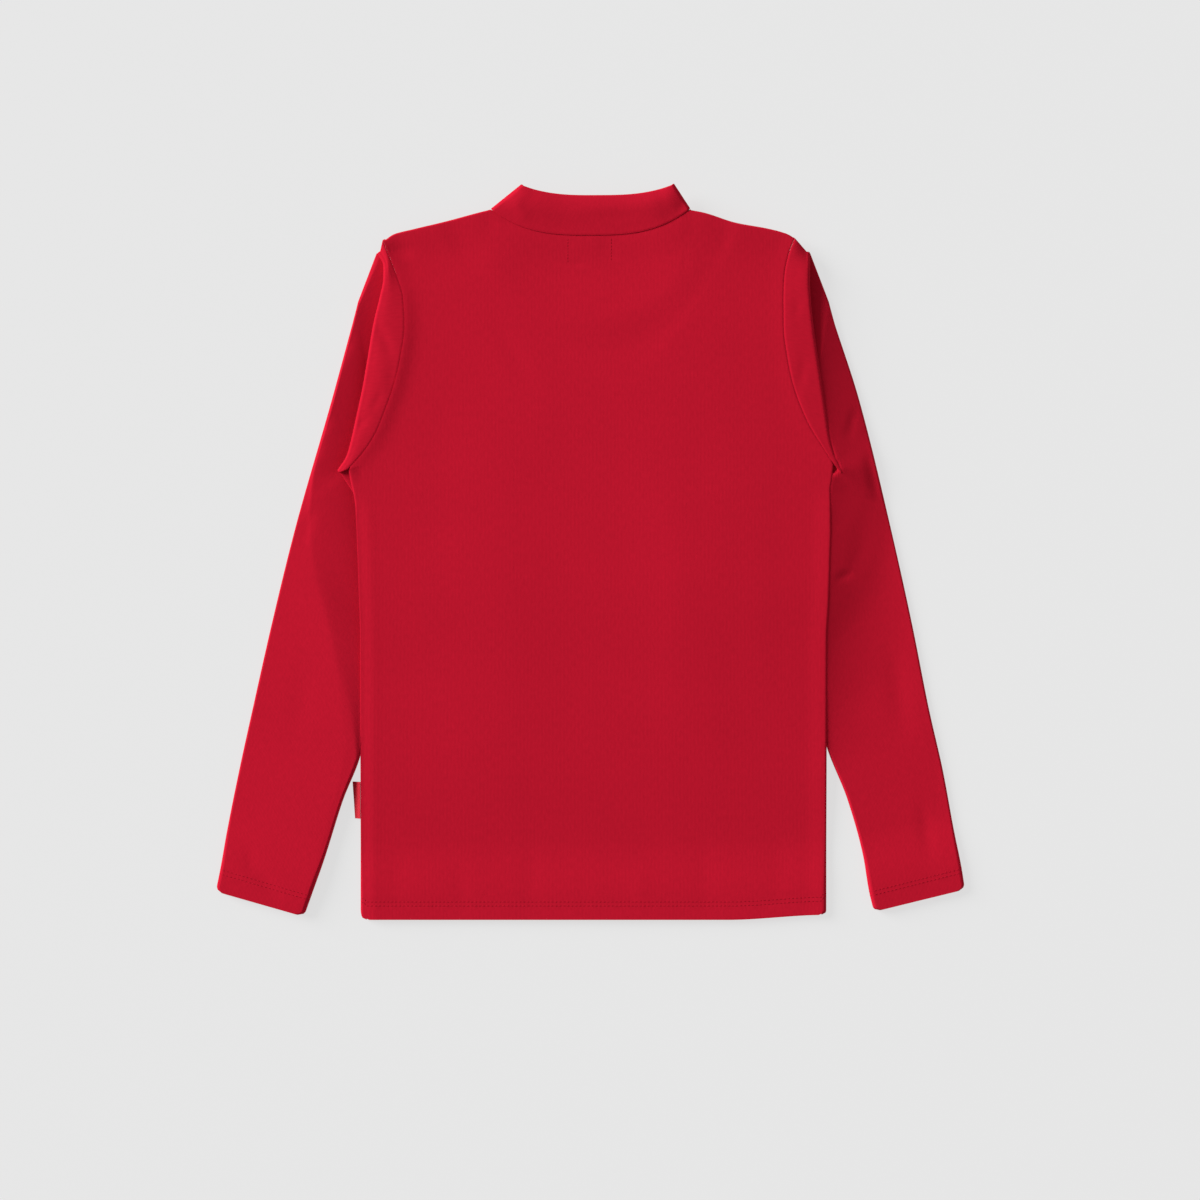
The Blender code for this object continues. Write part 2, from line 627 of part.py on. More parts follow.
def extend(grid, true, curl, away, last):
    """Add the curled strips along one edge of a grid, which is its last or first column.

    The grid holds plan x and y, the angle turned so far, and the direction of the turn.
    """
    base = grid[:, -1 if last else 0]
    strips = []
    for angle in CURL:
        plan = base[:, :2] + (true - base[:, :2]) * np.sin(angle)
        turned = (curl * angle)[:, None]
        strips.append(np.concatenate((plan, turned, away, base[:, 5:7]), 1)[:, None])
    if not last:
        strips = strips[::-1]
    strips = np.concatenate(strips, 1)
    return np.concatenate((grid, strips) if last else (strips, grid), 1)


def make_panel(name, neck_y, bow, face, material):
    """The back (face 1, uppermost) or the front (face -1, on the floor) of the body."""
    edges = body_sides()
    top_base, top_true, top_curl, top_away = body_top(neck_y, bow)
    left, right = edges["left"][0], edges["right"][0]
    top_base[0], top_base[-1] = left[-1], right[-1]
    u = run_length(body_top(BACK_NECK_Y, BACK_BOW)[0])
    bottom_x = left[0, 0] + (right[0, 0] - left[0, 0]) * u
    bottom = np.stack((bottom_x, hem_line(bottom_x)), 1)
    bottom[0], bottom[-1] = left[0], right[0]
    plan = patch(left, right, bottom, top_base, u)
    # columns of the working grid: x, y, angle turned, its direction in plan, and the grid's own
    # x and y, where the height is read
    grid = np.concatenate((plan, np.zeros(plan.shape[:2] + (3,)), plan), -1)
    grid = extend(grid, edges["right"][1], edges["right"][2], edges["right"][3], True)
    grid = extend(grid, edges["left"][1], edges["left"][2], edges["left"][3], False)
    extra = len(CURL)
    reach = top_true - top_base
    reach = np.concatenate((np.repeat(reach[:1], extra, 0), reach, np.repeat(reach[-1:], extra, 0)))
    away = np.concatenate((np.repeat(top_away[:1], extra, 0), top_away,
                           np.repeat(top_away[-1:], extra, 0)))
    curl = np.concatenate((np.ones(extra), top_curl, np.ones(extra)))
    true = grid[-1, :, :2] + reach
    grid = extend(grid.transpose(1, 0, 2), true, curl, away, True).transpose(1, 0, 2)

    place = grid[..., 5:7]
    height = place[..., 1] - hem_line(place[..., 0])
    wall, room = turn_up(height)
    side = edge_distance(place)
    room = room + GAP + SIDE_LOFT * (1 - ease(side / SIDE_LOFT_WIDTH)) * below_armpit(place)
    room = np.maximum(room, GAP + COLLAR_LOFT * near_neck(place))
    half = (wall + room) / 2
    level = lift(place) + wall + room / 2
    angle = grid[..., 2]
    closing = 1 - np.cos(angle)
    spread = half * (1 - closing) + GAP / 2 * closing
    middle = np.concatenate((grid[..., :2], (level + face * spread)[..., None]), -1)
    normal = np.concatenate((np.sin(angle)[..., None] * grid[..., 3:5],
                             (face * np.cos(angle))[..., None]), -1)
    return wall_solid(name, middle, unit(normal), wall, material)


def edge_distance(place):
    """Distance in from the nearer side edge."""
    y = place[..., 1]
    left = np.interp(y, column(SIDES, "y"), column(SIDES, "left_out"))
    right = np.interp(y, column(SIDES, "y"), column(SIDES, "right_out"))
    return np.maximum(np.minimum(left + place[..., 0], right - place[..., 0]), 0.0)


def below_armpit(place):
    """1 on the body's side edges, fading to 0 towards the armpit."""
    return ease((SIDES[-1].y - LOFT_CLEAR - place[..., 1]) / LOFT_FADE)


def near_neck(place):
    """1 round the neck, where the collar's front half lies inside, fading to 0 outwards."""
    far = np.hypot(place[..., 0] - NECK_X, place[..., 1] - NECK_END_Y)
    return 1 - ease((far - NECK_HALF - LOFT_CLEAR) / LOFT_FADE)


def build():
    """Make every piece of the garment."""
    clear_scene()
    knit = cloth_material("red knit", RED, 0.85)
    ribbon = cloth_material("red woven ribbon", LABEL_RED, 0.6)
    make_panel("body_front", FRONT_NECK_Y, FRONT_BOW, -1, knit)
    make_panel("body_back", BACK_NECK_Y, BACK_BOW, 1, knit)
    for side in SIDE_SIGN:
        make_sleeve(side, knit)
    make_collar(knit)
    make_label(ribbon)


build()
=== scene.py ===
"""Looks of a plain red fine-knit top with a stand collar, laid flat with its back uppermost.

Each piece of cloth is one closed wall on the form of its solid: a grid of middle points with a
direction at each, and half the cloth's thickness to either side. Lofts, seam grooves and creases
are heights added to those points, placed from the photograph. Sizes are in millimetres
and the meshes in metres. +X is to the right seen from above, +Y runs from the hem to the collar,
+Z is up, and "out" is a distance from the centre line.
"""

from collections import namedtuple

import bpy
import numpy as np
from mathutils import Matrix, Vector


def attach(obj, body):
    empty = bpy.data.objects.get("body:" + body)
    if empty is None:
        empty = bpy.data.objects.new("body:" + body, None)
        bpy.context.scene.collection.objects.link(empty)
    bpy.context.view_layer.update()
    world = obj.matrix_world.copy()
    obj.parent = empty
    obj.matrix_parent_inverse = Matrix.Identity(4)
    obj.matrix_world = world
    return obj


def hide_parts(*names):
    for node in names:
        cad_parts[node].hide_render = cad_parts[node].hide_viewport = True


MM = 0.001

# Cloth
CLOTH = 1.2             # one layer of the knit
COLLAR_PLY = 1.0        # one layer of the collar band, which is folded double
TURN_UP = 17.6          # depth of the hem and of the cuffs, where the knit is double
TURN_UP_WALL = 2 * CLOTH
TURN_UP_EASE = 45.0     # over this length the layers come together again past the turn-up
HEM_CORNER = 3.4        # radius of the turned-up corners, seen from above
CUFF_CORNER = 4.5
GAP = 0.3               # between layers that lie on each other
SEAM_GAP = 0.08         # between the edges of two pieces that are sewn together
SEAM_LEAD = 1.5         # a panel bends over within this distance from a seam
CORNER_GAP = 0.85       # where a folded edge ends against the end of a seam
CORNER_BASE = 1.4

# Height of one sleeve, which is two layers, with the gap to what lies on it
LANE = 2 * CLOTH + 2 * GAP
FOLD_RADIUS = LANE / 2
FLAT_HALF = (CLOTH + GAP) / 2
FOLD_REACH = FOLD_RADIUS + FLAT_HALF + CLOTH / 2

# Outline of the body
HEM_Y = -293.0
HEM_RISE = 4.0          # its right corner lies this much further up, which begins here
HEM_RISE_FROM = 110.0
SIDE_LOFT = 0.9         # extra room between back and front along the sides, over this width
SIDE_LOFT_WIDTH = 16.0
SHOULDER_LOFT = 0.45    # and along the shoulders
LOFT_CLEAR = 6.0        # the extra room ends this far from the armpit and from the collar,
LOFT_FADE = 30.0        # fading over this distance
SHOULDER_LEAN = 0.26    # a shoulder's edge curls in this direction, x for each y, which it comes
SHOULDER_TURN = 0.2     # to over this part of its length from the sleeve
BEND_FROM = 0.5         # the bends of the top and bottom edges reach over this part of the panel

# The body lies on the floor as far out as the first, and at its full height from the second
LIFT_NONE_OUT = 20.0
LIFT_FULL_OUT = 146.0
LIFT_SHOULDER_OUT = 74.0    # at the shoulders the full height begins here already:
LIFT_SHOULDER_Y = 190.0     # the change begins at this y, over this distance
LIFT_SHOULDER_FADE = 55.0

# Collar
COLLAR_WALL = 2.2
COLLAR_LOFT = 1.25
NECK_HALF = 77.8        # the neck seam's half width and middle x
NECK_X = 0.4
BACK_NECK_Y = 252.8
FRONT_NECK_Y = 214.0
NECK_END_Y = 272.4
TOP_HALF = 59.6         # the same for the folded top edge
TOP_X = 6.0
BACK_TOP_Y = 283.6
FRONT_TOP_Y = 245.0
TOP_END_Y = 291.4
BACK_BOW = 3.0          # powers of the bowl-shaped lines across
FRONT_BOW = 2.3
COLLAR_BULGE = 1.4      # the band stands up this much between its seam and its folded edge
COLLAR_BULGE_AT = 0.66
COLLAR_BULGE_FADE = 0.12    # which goes down to 0 over this part of the way in from each end
COLLAR_CREASE_FADE = 0.15
COLLAR_RISES = 0.12     # its folded edge stands this part higher than its seam
TOP_STAND = 1.4         # the back rises to its thick seams at neck and shoulders over the width
TOP_STAND_WIDTH = 18.0

# Side label
LABEL_TOP_Y = -182.8
LABEL_FOOT_Y = -212.2
LABEL_TOP_SHOWS = 6.6
LABEL_FOOT_SHOWS = 4.6
LABEL_PLY = 0.3
LABEL_LIES = 0.7
LABEL_WAVE = 0.25       # its outer edge waves up and down by this, at this pace
LABEL_WAVES = 9.0
LABEL_FOLD = 0.75       # radius of its fold, in thicknesses
LABEL_ROWS = 24
LABEL_COLUMNS = 10

# Relief of the back panel
BACK_SPANS = 0.85       # the back keeps this part of its height between the sleeves,
SHOULDER_FADE = 26.0    # and less and less within this distance of a shoulder's edge
BODY_LOFT = 2.6         # it lies this much looser in the middle than at its edges
BODY_LOFT_FADE = 130.0
HEM_LOFT_FADE = 170.0
GROOVE_DEPTH = 0.24     # the two edges at a seam roll down into it
GROOVE_WIDTH = 0.7
BACK_GROOVE = 0.2       # the back does so only by this part at the neck and on the left
BACK_CREASE_FADE = 3.0
SEAM_CROWN_WIDTH = 8.0  # the back follows the crescent's height at the seam over this distance
EDGE_ROLL = {"left": 1.6, "right": 0.3}     # the back rolls down to its side edges
EDGE_ROLL_WIDTH = 13.0

# The body's side edges, from the hem to the armpits
Side = namedtuple("Side", "y left_out right_out")
SIDES = (
    Side(-293, 182, 188.2),
    Side(-285, 183.2, 188.8),
    Side(-69.6, 183.2, 188.8),
    Side(-37.6, 184, 190.4),
    Side(-5.6, 185, 191.3),
    Side(18.4, 186, 192),
    Side(36, 186.8, 191.8),
    Side(50, 189, 191.6),
    Side(62, 193.6, 193.8),
)

# The shoulders' edges, from the sleeves to the collar
Shoulder = namedtuple("Shoulder", "out left_y right_y")
SHOULDERS = (
    Shoulder(164, 248.9, 249.9),
    Shoulder(156, 254.2, 254.2),
    Shoulder(142, 257.8, 258),
    Shoulder(116, 264, 262.8),
    Shoulder(91, 270.6, 270.7),
    Shoulder(78, 273.9, 273.2),
)

# The flat sleeve at distances from its cuff: room between its layers at its two edges, and the
# inner out and y and the outer out and y of each side
Section = namedtuple("Section", "along inner_room outer_room left right")
SECTIONS = (
    Section(0, 0.9, 0.9, (228.4, -290.2, 299, -270.2), (226.8, -286.4, 299.6, -268.6)),
    Section(18, 1.2, 1.2, (222.2, -272.8, 295.2, -251.6), (222.8, -269.6, 296.8, -251)),
    Section(45, 1.2, 1.2, (212.6, -245.6, 290, -221.6), (218.2, -241.6, 291.2, -223.2)),
    Section(97, 1, 1.2, (197.4, -197.6, 280.4, -173.6), (206, -197.6, 282.2, -174.4)),
    Section(148, 0.3, 1.2, (183.4, -161.6, 269, -121.6), (188.8, -153.6, 270.8, -124)),
    Section(201, 0.3, 1.2, (173.6, -112.6, 254.6, -57.6), (178.4, -109.6, 257.6, -57.6)),
    Section(260, 0.3, 1, (164.8, -65.6, 236, 18.4), (168.8, -65.6, 240.8, 18.4)),
    Section(335, 0.3, 0.6, (158.8, -29.6, 206.4, 122.4), (162.4, -29.6, 215.2, 122.4)),
    Section(380, 0.3, 0.3, (156.4, -14, 189, 186.4), (160, -14, 194.6, 186.4)),
    Section(395, 0.3, 0.3, (155.4, -10, 181.4, 214), (159, -10, 185.8, 214)),
)
COVERED_TO = 388

# Height of the body above the floor along its sides: two sleeve lanes over the folds, then one.
# The cloth lies looser than its solid by a part of LOOSE, which is more on the right.
Lift = namedtuple("Lift", "y height loose")
LOOSE = {"left": 2.5, "right": 5.5}
LIFTS = (
    Lift(-280, 0, 0),
    Lift(-250, 0.5, 0.05),
    Lift(-172, LANE, 0.3),
    Lift(-110, 1.2 * LANE, 0.6),
    Lift(-14, 2 * LANE, 0.85),
    Lift(60, 2 * LANE, 0.9),
    Lift(140, 2 * LANE, 1),
    Lift(180, 1.92 * LANE, 1),
    Lift(205, 1.75 * LANE, 1),
    Lift(235, 1.35 * LANE, 1.1),
    Lift(262, LANE, 1.3),
)

# The sleeve along its seam, from the armpit to the shoulder: how far its second fold runs in
# below the body, how far it turns over its ridge, and the out and y of its seam and its ridge
Fold = namedtuple("Fold", "depth turn left right")
FOLDS = (
    Fold(84, 180, (192, 67.2, 201, 66.4), (193.6, 71.2, 201.6, 65.6)),
    Fold(75, 180, (180, 80.8, 194, 77.6), (183.2, 87.2, 195.2, 78.4)),
    Fold(64, 180, (170.8, 95.2, 190, 92), (174.4, 101.6, 191.2, 92)),
    Fold(53, 180, (163.2, 113.6, 186, 110.4), (167.2, 117.6, 188.4, 110.4)),
    Fold(42, 180, (156.2, 133.6, 181.6, 130.4), (161.6, 133.6, 185.6, 128.8)),
    Fold(31, 180, (150.8, 156.8, 177.2, 156), (156.8, 156.8, 182, 152.8)),
    Fold(20, 180, (147.8, 180, 172.8, 182.4), (154, 180, 178.4, 178.4)),
    Fold(12, 180, (148.8, 202.4, 168, 202.4), (153.9, 202.4, 176, 200.8)),
    Fold(3, 180, (153.2, 218.4, 164.8, 218.4), (154.6, 220, 175.2, 215.2)),
    Fold(0, 140, (159.2, 234.4, 164.6, 228.8), (157.6, 236, 175.2, 228)),
    Fold(0, 90, (164.6, 248, 168.6, 238.6), (162.4, 249.2, 174.6, 238.6)),
)
FOLD_RUN = np.array((-0.55, -0.835))    # the direction in which the second fold runs in

# The sleeve's outer edge near the shoulder is rounder than its solid's, by these amounts
Bulge = namedtuple("Bulge", "y left right")
BULGES = (
    Bulge(182, 0, 0),
    Bulge(198, 0.3, 0.8),
    Bulge(214, 1.9, 2.2),
    Bulge(226, 3.2, 2.6),
    Bulge(238, 3.6, 2.8),
    Bulge(246, 2.4, 2),
    Bulge(252, 0, 0),
)
BULGE_WIDTH = 5.0       # it comes in over this distance from the ridge

# How high the sleeve's upper layer stands where it is free: it comes up over the inner width from
# the body's edge or its own inner edge, and goes down over the outer width to its outer edge. The
# heap is cloth pushed up beside the body's edge, which falls away over its own width.
Puff = namedtuple("Puff", "along height inner outer heap heap_width heap_power")
PUFFS = {
    "left": (
        Puff(0, 1.4, 1, 66, 0, 90, 1),
        Puff(18, 2.6, 1, 72, 0, 90, 1),
        Puff(45, 3.8, 1, 76, 0, 90, 1),
        Puff(100, 4.2, 1.5, 80, 0.4, 90, 1),
        Puff(148, 1.2, 3, 82, 3.4, 400, 1),
        Puff(178, 1.2, 8, 74, 3.6, 400, 1),
        Puff(225, 1.4, 24, 52, 2.6, 400, 1),
        Puff(260, 1.1, 30, 22, 0.7, 400, 1),
        Puff(280, 1.6, 34, 10, 0.3, 400, 1),
        Puff(300, 2.7, 38, 3.5, 0.1, 400, 1),
        Puff(335, 4.2, 36, 4, 0, 400, 1),
        Puff(388, 4.4, 18, 3.5, 0, 400, 1),
    ),
    "right": (
        Puff(0, 0, 6, 8, 0.9, 76, 1),
        Puff(30, 0, 6, 8, 1.8, 84, 1),
        Puff(120, 0, 6, 8, 3.0, 90, 1.1),
        Puff(150, 0, 6, 8, 4.4, 80, 1.4),
        Puff(180, 0, 6, 6, 5.8, 68, 1.8),
        Puff(225, 0, 6, 4, 7.6, 62, 1.8),
        Puff(260, 0, 6, 2.5, 9.4, 48, 1.1),
        Puff(280, 0, 6, 2.5, 10.0, 43, 0.95),
        Puff(300, 0, 6, 2.5, 10.2, 38, 0.9),
        Puff(335, 0, 6, 2.5, 10.2, 30, 0.9),
        Puff(352, 0, 6, 2.5, 9.9, 26, 0.9),
        Puff(388, 0, 3, 2.5, 9.0, 18, 0.9),
    ),
}
PUFF_CLEAR = 0.5        # the height begins this far from what lies on the sleeve
SLEEVE_CREASE_FADE = 5.0
RISE_POWER = 1.5
FALL_POWER = 1.1
HEAP_UNDER_FROM = 2.0   # the heap goes on level for this far under what lies on the sleeve,
HEAP_UNDER = 3.5        # falls away within this distance,
HEAP_END = 1.2          # and comes down to the sleeve's own inner edge within this one

# The crescent of sleeve between its ridge and its seam: extra height at parts of the way across,
# as parts of its width
CROWN_LEAST = 12.0      # where it is narrower than this it is no less high
Crown = namedtuple("Crown", "part left right")
CROWNS = (
    Crown(0, 0, 0),
    Crown(0.25, 0.036, 0.006),
    Crown(0.5, 0.052, 0.012),
    Crown(0.75, 0.057, 0.018),
    Crown(0.9, 0.056, 0.018),
    Crown(1, 0.054, 0.010),
)

# Creases: soft troughs (negative) or ridges
Crease = namedtuple("Crease", "x y heading length width height")


def crease_table(*rows):
    """Creases by centre x and y, heading in degrees, half length, half width and height."""
    return [Crease(*row) for row in rows]


BODY_CREASES = crease_table(
    (106.4, 249, 90, 14, 3, -0.15), (76, 230, 90, 8, 2.6, -0.15),
    (-152, 241, -12, 16, 5, -0.8), (-63, 164, 119, 46, 9, -0.40),
    (-18, 242, 91, 15, 0.9, -0.45), (16.6, 242, 91, 15, 1.1, -1.00),
    (12, 243, 91, 12, 4, -0.30), (-11, 230, 0, 8, 1.2, -0.30),
    (-153.6, -262, 88, 40, 9, -0.24), (-103.2, -268, 94, 34, 6.5, -0.20),
    (-47.2, -262, 86, 42, 8, -0.20), (-4, -272, 92, 24, 5, -0.14),
    (92, -262, 93, 46, 9, -0.26), (40, -268, 88, 26, 6, 0.18),
    (150, -254, 90, 40, 10, -0.28), (60, 20, 97, 150, 26, 0.35),
    (-60, -60, 84, 140, 30, 0.30), (120, -120, 100, 110, 22, -0.30),
    (-120, 60, 80, 120, 24, -0.30),
)
SLEEVE_CREASES = crease_table(
    (-264, -257.6, -49, 32, 6, -1), (-272, -244, 98, 16, 5, -0.7),
    (202.4, -18.4, 18, 10, 2.6, -0.9), (226, 60, 104, 26, 5, -1.3),
    (214, 2, 74, 48, 8, -0.4), (209, 104, 74, 18, 4, -0.6),
    (-213, 98, 58, 15, 3, -0.6), (-219, 78, 64, 16, 3.2, -0.6),
    (-196, 160, 66, 18, 3.6, -0.7), (-226, 22, 72, 22, 5, -0.5),
    (-232, -120, 80, 50, 10, -0.5), (246, -110, 98, 46, 9, -0.6),
    (268, -220, 96, 30, 6, -0.5),
)
CRESCENT_CREASES = crease_table(
    (-163, 168, 118, 20, 4, -0.8), (-158, 138, 92, 18, 4.5, -0.4),
    (-181, 104, 40, 9, 3.4, -0.5), (-170, 120, 60, 12, 3, -0.3),
    (168, 140, 78, 22, 4, -0.35), (165, 196, 80, 14, 4, -0.25),
)
COLLAR_CREASES = crease_table(
    (73, 276, 60, 10, 4, -0.35), (-56, 274, 130, 14, 6, 0.6),
    (22, 268, 4, 40, 5, -0.3),
)

# Stitches
Thread = namedtuple("Thread", "pitch length thick")
HEM_THREAD = Thread(3.2, 2.7, 0.5)
TACK_THREAD = Thread(2.4, 2.0, 0.4)
HEM_STITCHES = (13.8, 17.0)     # distances of the two rows of stitches from the folded edge
STITCH_BURIED = 0.27            # those on the floor are pressed into the cloth by this
Tack = namedtuple("Tack", "x top foot")
TACKS = (Tack(-17.8, 250.6, 231.0), Tack(16.8, 250.6, 232.4))
TACK_POINTS = 20
TACK_NEAREST = 4
TINY = 0.01             # square millimetres

# Grids
HEM_ROWS = np.concatenate((np.linspace(0, 12, 9), (13.0, 13.8, 14.6, 16.0, 17.0, 17.4, 18.2),
                           np.linspace(20, 345, 150)))
ARMPIT_ROW = 359.0      # these rows are stretched from an armpit this far up to the real one
SEAM_AT = np.concatenate((np.linspace(0, 0.4, 5), np.linspace(0.5, 9.6, 66), (9.7, 9.78, 9.84, 9.88),
                          (9.91, 9.94, 9.97, 10.0)))
SHOULDER_COLUMNS = np.concatenate((np.array((0, 0.4, 0.8, 1.3, 1.9, 2.7, 3.7, 5.0, 6.8)) / 86,
                                   np.linspace(0.11, 0.985, 26)))
NECK_POINTS = 61        # closer together towards the neck's ends
NECK_CROWDING = 0.86
NECK_SWEEP = np.linspace(-1, 1, NECK_POINTS) * np.pi / 2 * NECK_CROWDING
NECK_COLUMNS = np.sin(NECK_SWEEP) / np.sin(NECK_SWEEP[-1])
SLEEVE_STATIONS = np.concatenate((np.linspace(0, 12, 8), (13.0, 13.8, 14.6, 16.0, 17.0, 17.4, 18.2),
                                  np.linspace(20, COVERED_TO, 138)))
CRESCENT_ROWS = np.concatenate((np.linspace(0.07, 0.88, 12), (0.92, 0.95, 0.975, 1.0)))
COLLAR_PARTS = np.concatenate(((0.0, 0.015, 0.03, 0.05, 0.08), np.linspace(0.12, 1.0, 17)))
CURL = np.radians(np.linspace(15, 90, 6))
END_CAP = np.radians(np.linspace(22.5, 157.5, 7))
FOLD_STEPS = 10         # round each fold of a sleeve, and between its two folds
SLOPE_STEPS = 7
HALF_TURN = np.radians(np.linspace(0, 180, 9))[1:-1]
COVER_POINTS = 12       # of the ridge in the outline of what lies on a sleeve, which ends here
COVER_TOP_Y = 250.0

# Colours as sRGB
KNIT_RED = "#b5142a"
# the thread's own red, made darker than the knit's by painted shade of the stitch rows' dents
THREAD_AND_SHADE_RED = "#a21025"
RIBBON_RED = "#ba2432"
SHEEN_RED = "#ff3048"
TABLE_WHITE = "#5a5a5a"

# Stitch of the double knit, drawn a little coarser than the real 0.7 mm, which would not show
WALE = 1.1
COURSE = 0.9

SIDE_SIGN = {"left": -1.0, "right": 1.0}
UP = np.array((0.0, 0.0, 1.0))


# Lines and small sums

def unit(vectors):
    """Scale vectors along the last axis to length 1."""
    return vectors / np.linalg.norm(vectors, axis=-1, keepdims=True)


def mix(start, end, part):
    """The value at a part of the way from start to end."""
    return start + (end - start) * part


def bell(value):
    """1 at 0, falling away on both sides: exp(-v * v)."""
    return np.exp(-value**2)


def raised(plan, height):
    """Plan points with their heights as a third coordinate."""
    return np.concatenate((plan, height[..., None]), -1)


def ease(value):
    """Go smoothly from 0 at 0 to 1 at 1, and stay level outside that: t * t * (3 - 2t)."""
    t = np.clip(value, 0.0, 1.0)
    return t * t * (3.0 - 2.0 * t)


def column(table, name):
    """One named column of a table as an array."""
    return np.array([getattr(row, name) for row in table], float)


def curve(knots, values, at):
    """A smooth curve through the values that never overshoots them.

    Between knots it is a cubic. Its slope at a knot is the harmonic mean of the slopes on either
    side, or 0 where they differ in sign.
    """
    gaps = np.diff(knots)
    chords = np.diff(values, axis=0) / (gaps[:, None] if values.ndim > 1 else gaps)
    before, after = chords[:-1], chords[1:]
    both = np.where(before * after > 0, before + after, 1.0)
    mean = np.where(before * after > 0, 2 * before * after / both, 0.0)
    slopes = np.concatenate((chords[:1], mean, chords[-1:]))
    at = np.clip(at, knots[0], knots[-1])
    i = np.clip(np.searchsorted(knots, at, side="right") - 1, 0, len(knots) - 2)
    step = gaps[i]
    t = (at - knots[i]) / step
    if values.ndim > 1:
        step = step[..., None]
        t = t[..., None]
    return ((2 * t**3 - 3 * t**2 + 1) * values[i] + (t**3 - 2 * t**2 + t) * step * slopes[i]
            + (3 * t**2 - 2 * t**3) * values[i + 1] + (t**3 - t**2) * step * slopes[i + 1])


def read(table, name, at):
    """A named column of a table as a smooth curve over its first column."""
    return curve(column(table, table[0]._fields[0]), column(table, name), at)


def arc_length(points):
    """Distance along a line of points."""
    steps = np.linalg.norm(np.diff(points, axis=0), axis=-1)
    return np.concatenate((np.zeros((1,) + steps.shape[1:]), np.cumsum(steps, axis=0)))


def run_length(points):
    """Distance along a line of points, from 0 at the first to 1 at the last."""
    total = arc_length(points)
    return total / total[-1]


def beside(points):
    """Unit normals in plan of a line of points, to the left of its direction."""
    tangent = unit(np.gradient(points, axis=0))
    return np.stack((-tangent[:, 1], tangent[:, 0]), axis=1)


def line_distance(points, line):
    """Plan distance from each point to a line of points."""
    start = line[:-1]
    leg = line[1:] - line[:-1]
    offset = points[..., None, :] - start
    t = np.clip((offset * leg).sum(-1) / (leg * leg).sum(-1), 0.0, 1.0)
    return np.linalg.norm(offset - t[..., None] * leg, axis=-1).min(-1)


def outside_distance(points, corners):
    """Plan distance from each point to a polygon, which is less than 0 inside it."""
    closed = np.concatenate((corners, corners[:1]))
    leg = np.diff(closed, axis=0)
    x, y = points[..., 0, None], points[..., 1, None]
    rises = (corners[:, 1] > y) != (closed[1:, 1] > y)
    rise = np.where(leg[:, 1] == 0, 1.0, leg[:, 1])
    crosses = rises & (x < corners[:, 0] + (y - corners[:, 1]) / rise * leg[:, 0])
    inside = crosses.sum(-1) % 2 == 1
    return line_distance(points, closed) * np.where(inside, -1.0, 1.0)


def creased(points, creases):
    """Sum of the creases' heights at plan points.

    Each is height * exp(-(distance across / width)^2), times a bump (1 - s^2)^2 along its length.
    """
    total = np.zeros(points.shape[:-1])
    for crease in creases:
        heading = np.radians(crease.heading)
        along = np.array((np.cos(heading), np.sin(heading)))
        offset = points - (crease.x, crease.y)
        s = np.clip((offset @ along) / crease.length, -1, 1)
        side = (offset @ np.array((-along[1], along[0]))) / crease.width
        total = total + crease.height * bell(side) * (1 - s**2)**2
    return total


def groove(distance):
    """How far an edge rolls down into its seam, at a distance from the seam."""
    return -GROOVE_DEPTH * bell(distance / GROOVE_WIDTH)


def round_corner(distance, radius):
    """How far a side edge draws in at this distance from a turned-up edge: a quarter circle."""
    left = np.clip(radius - distance, 0, radius)
    return radius - np.sqrt(radius**2 - left**2)


def turn_up(distance):
    """Wall thickness, and extra room inside, at a distance from a hem's or cuff's edge."""
    double = distance < TURN_UP
    wall = np.where(double, TURN_UP_WALL, CLOTH)
    step = 2 * (TURN_UP_WALL - CLOTH)
    room = np.where(double, 0.0, step * (1 - ease((distance - TURN_UP) / TURN_UP_EASE)))
    return wall, room


# Meshes

def cells(index):
    """The four corners of each cell of a grid of point numbers."""
    corners = (index[:-1, :-1], index[:-1, 1:], index[1:, 1:], index[1:, :-1])
    return np.stack(corners, -1).reshape(-1, 4)


def volume(points, faces):
    """Signed volume inside four-sided faces, which is positive when they point out."""
    a, b, c, d = (points[faces[:, i]] for i in range(4))
    return ((a * np.cross(b, c)).sum() + (a * np.cross(c, d)).sum()) / 6


def make_mesh(name, points, faces, material, uv=None):
    """A mesh object from points in millimetres, with its cloth coordinates in metres."""
    mesh = bpy.data.meshes.new(name)
    mesh.from_pydata((points * MM).tolist(), [], faces.tolist())
    if uv is not None:
        corners = np.empty(len(mesh.loops), np.int32)
        mesh.loops.foreach_get("vertex_index", corners)
        layer = mesh.uv_layers.new(name="cloth")
        layer.data.foreach_set("uv", (uv[corners] * MM).ravel().astype(np.float32))
    mesh.materials.append(material)
    mesh.shade_smooth()
    piece = bpy.data.objects.new(name, mesh)
    bpy.context.scene.collection.objects.link(piece)
    return piece


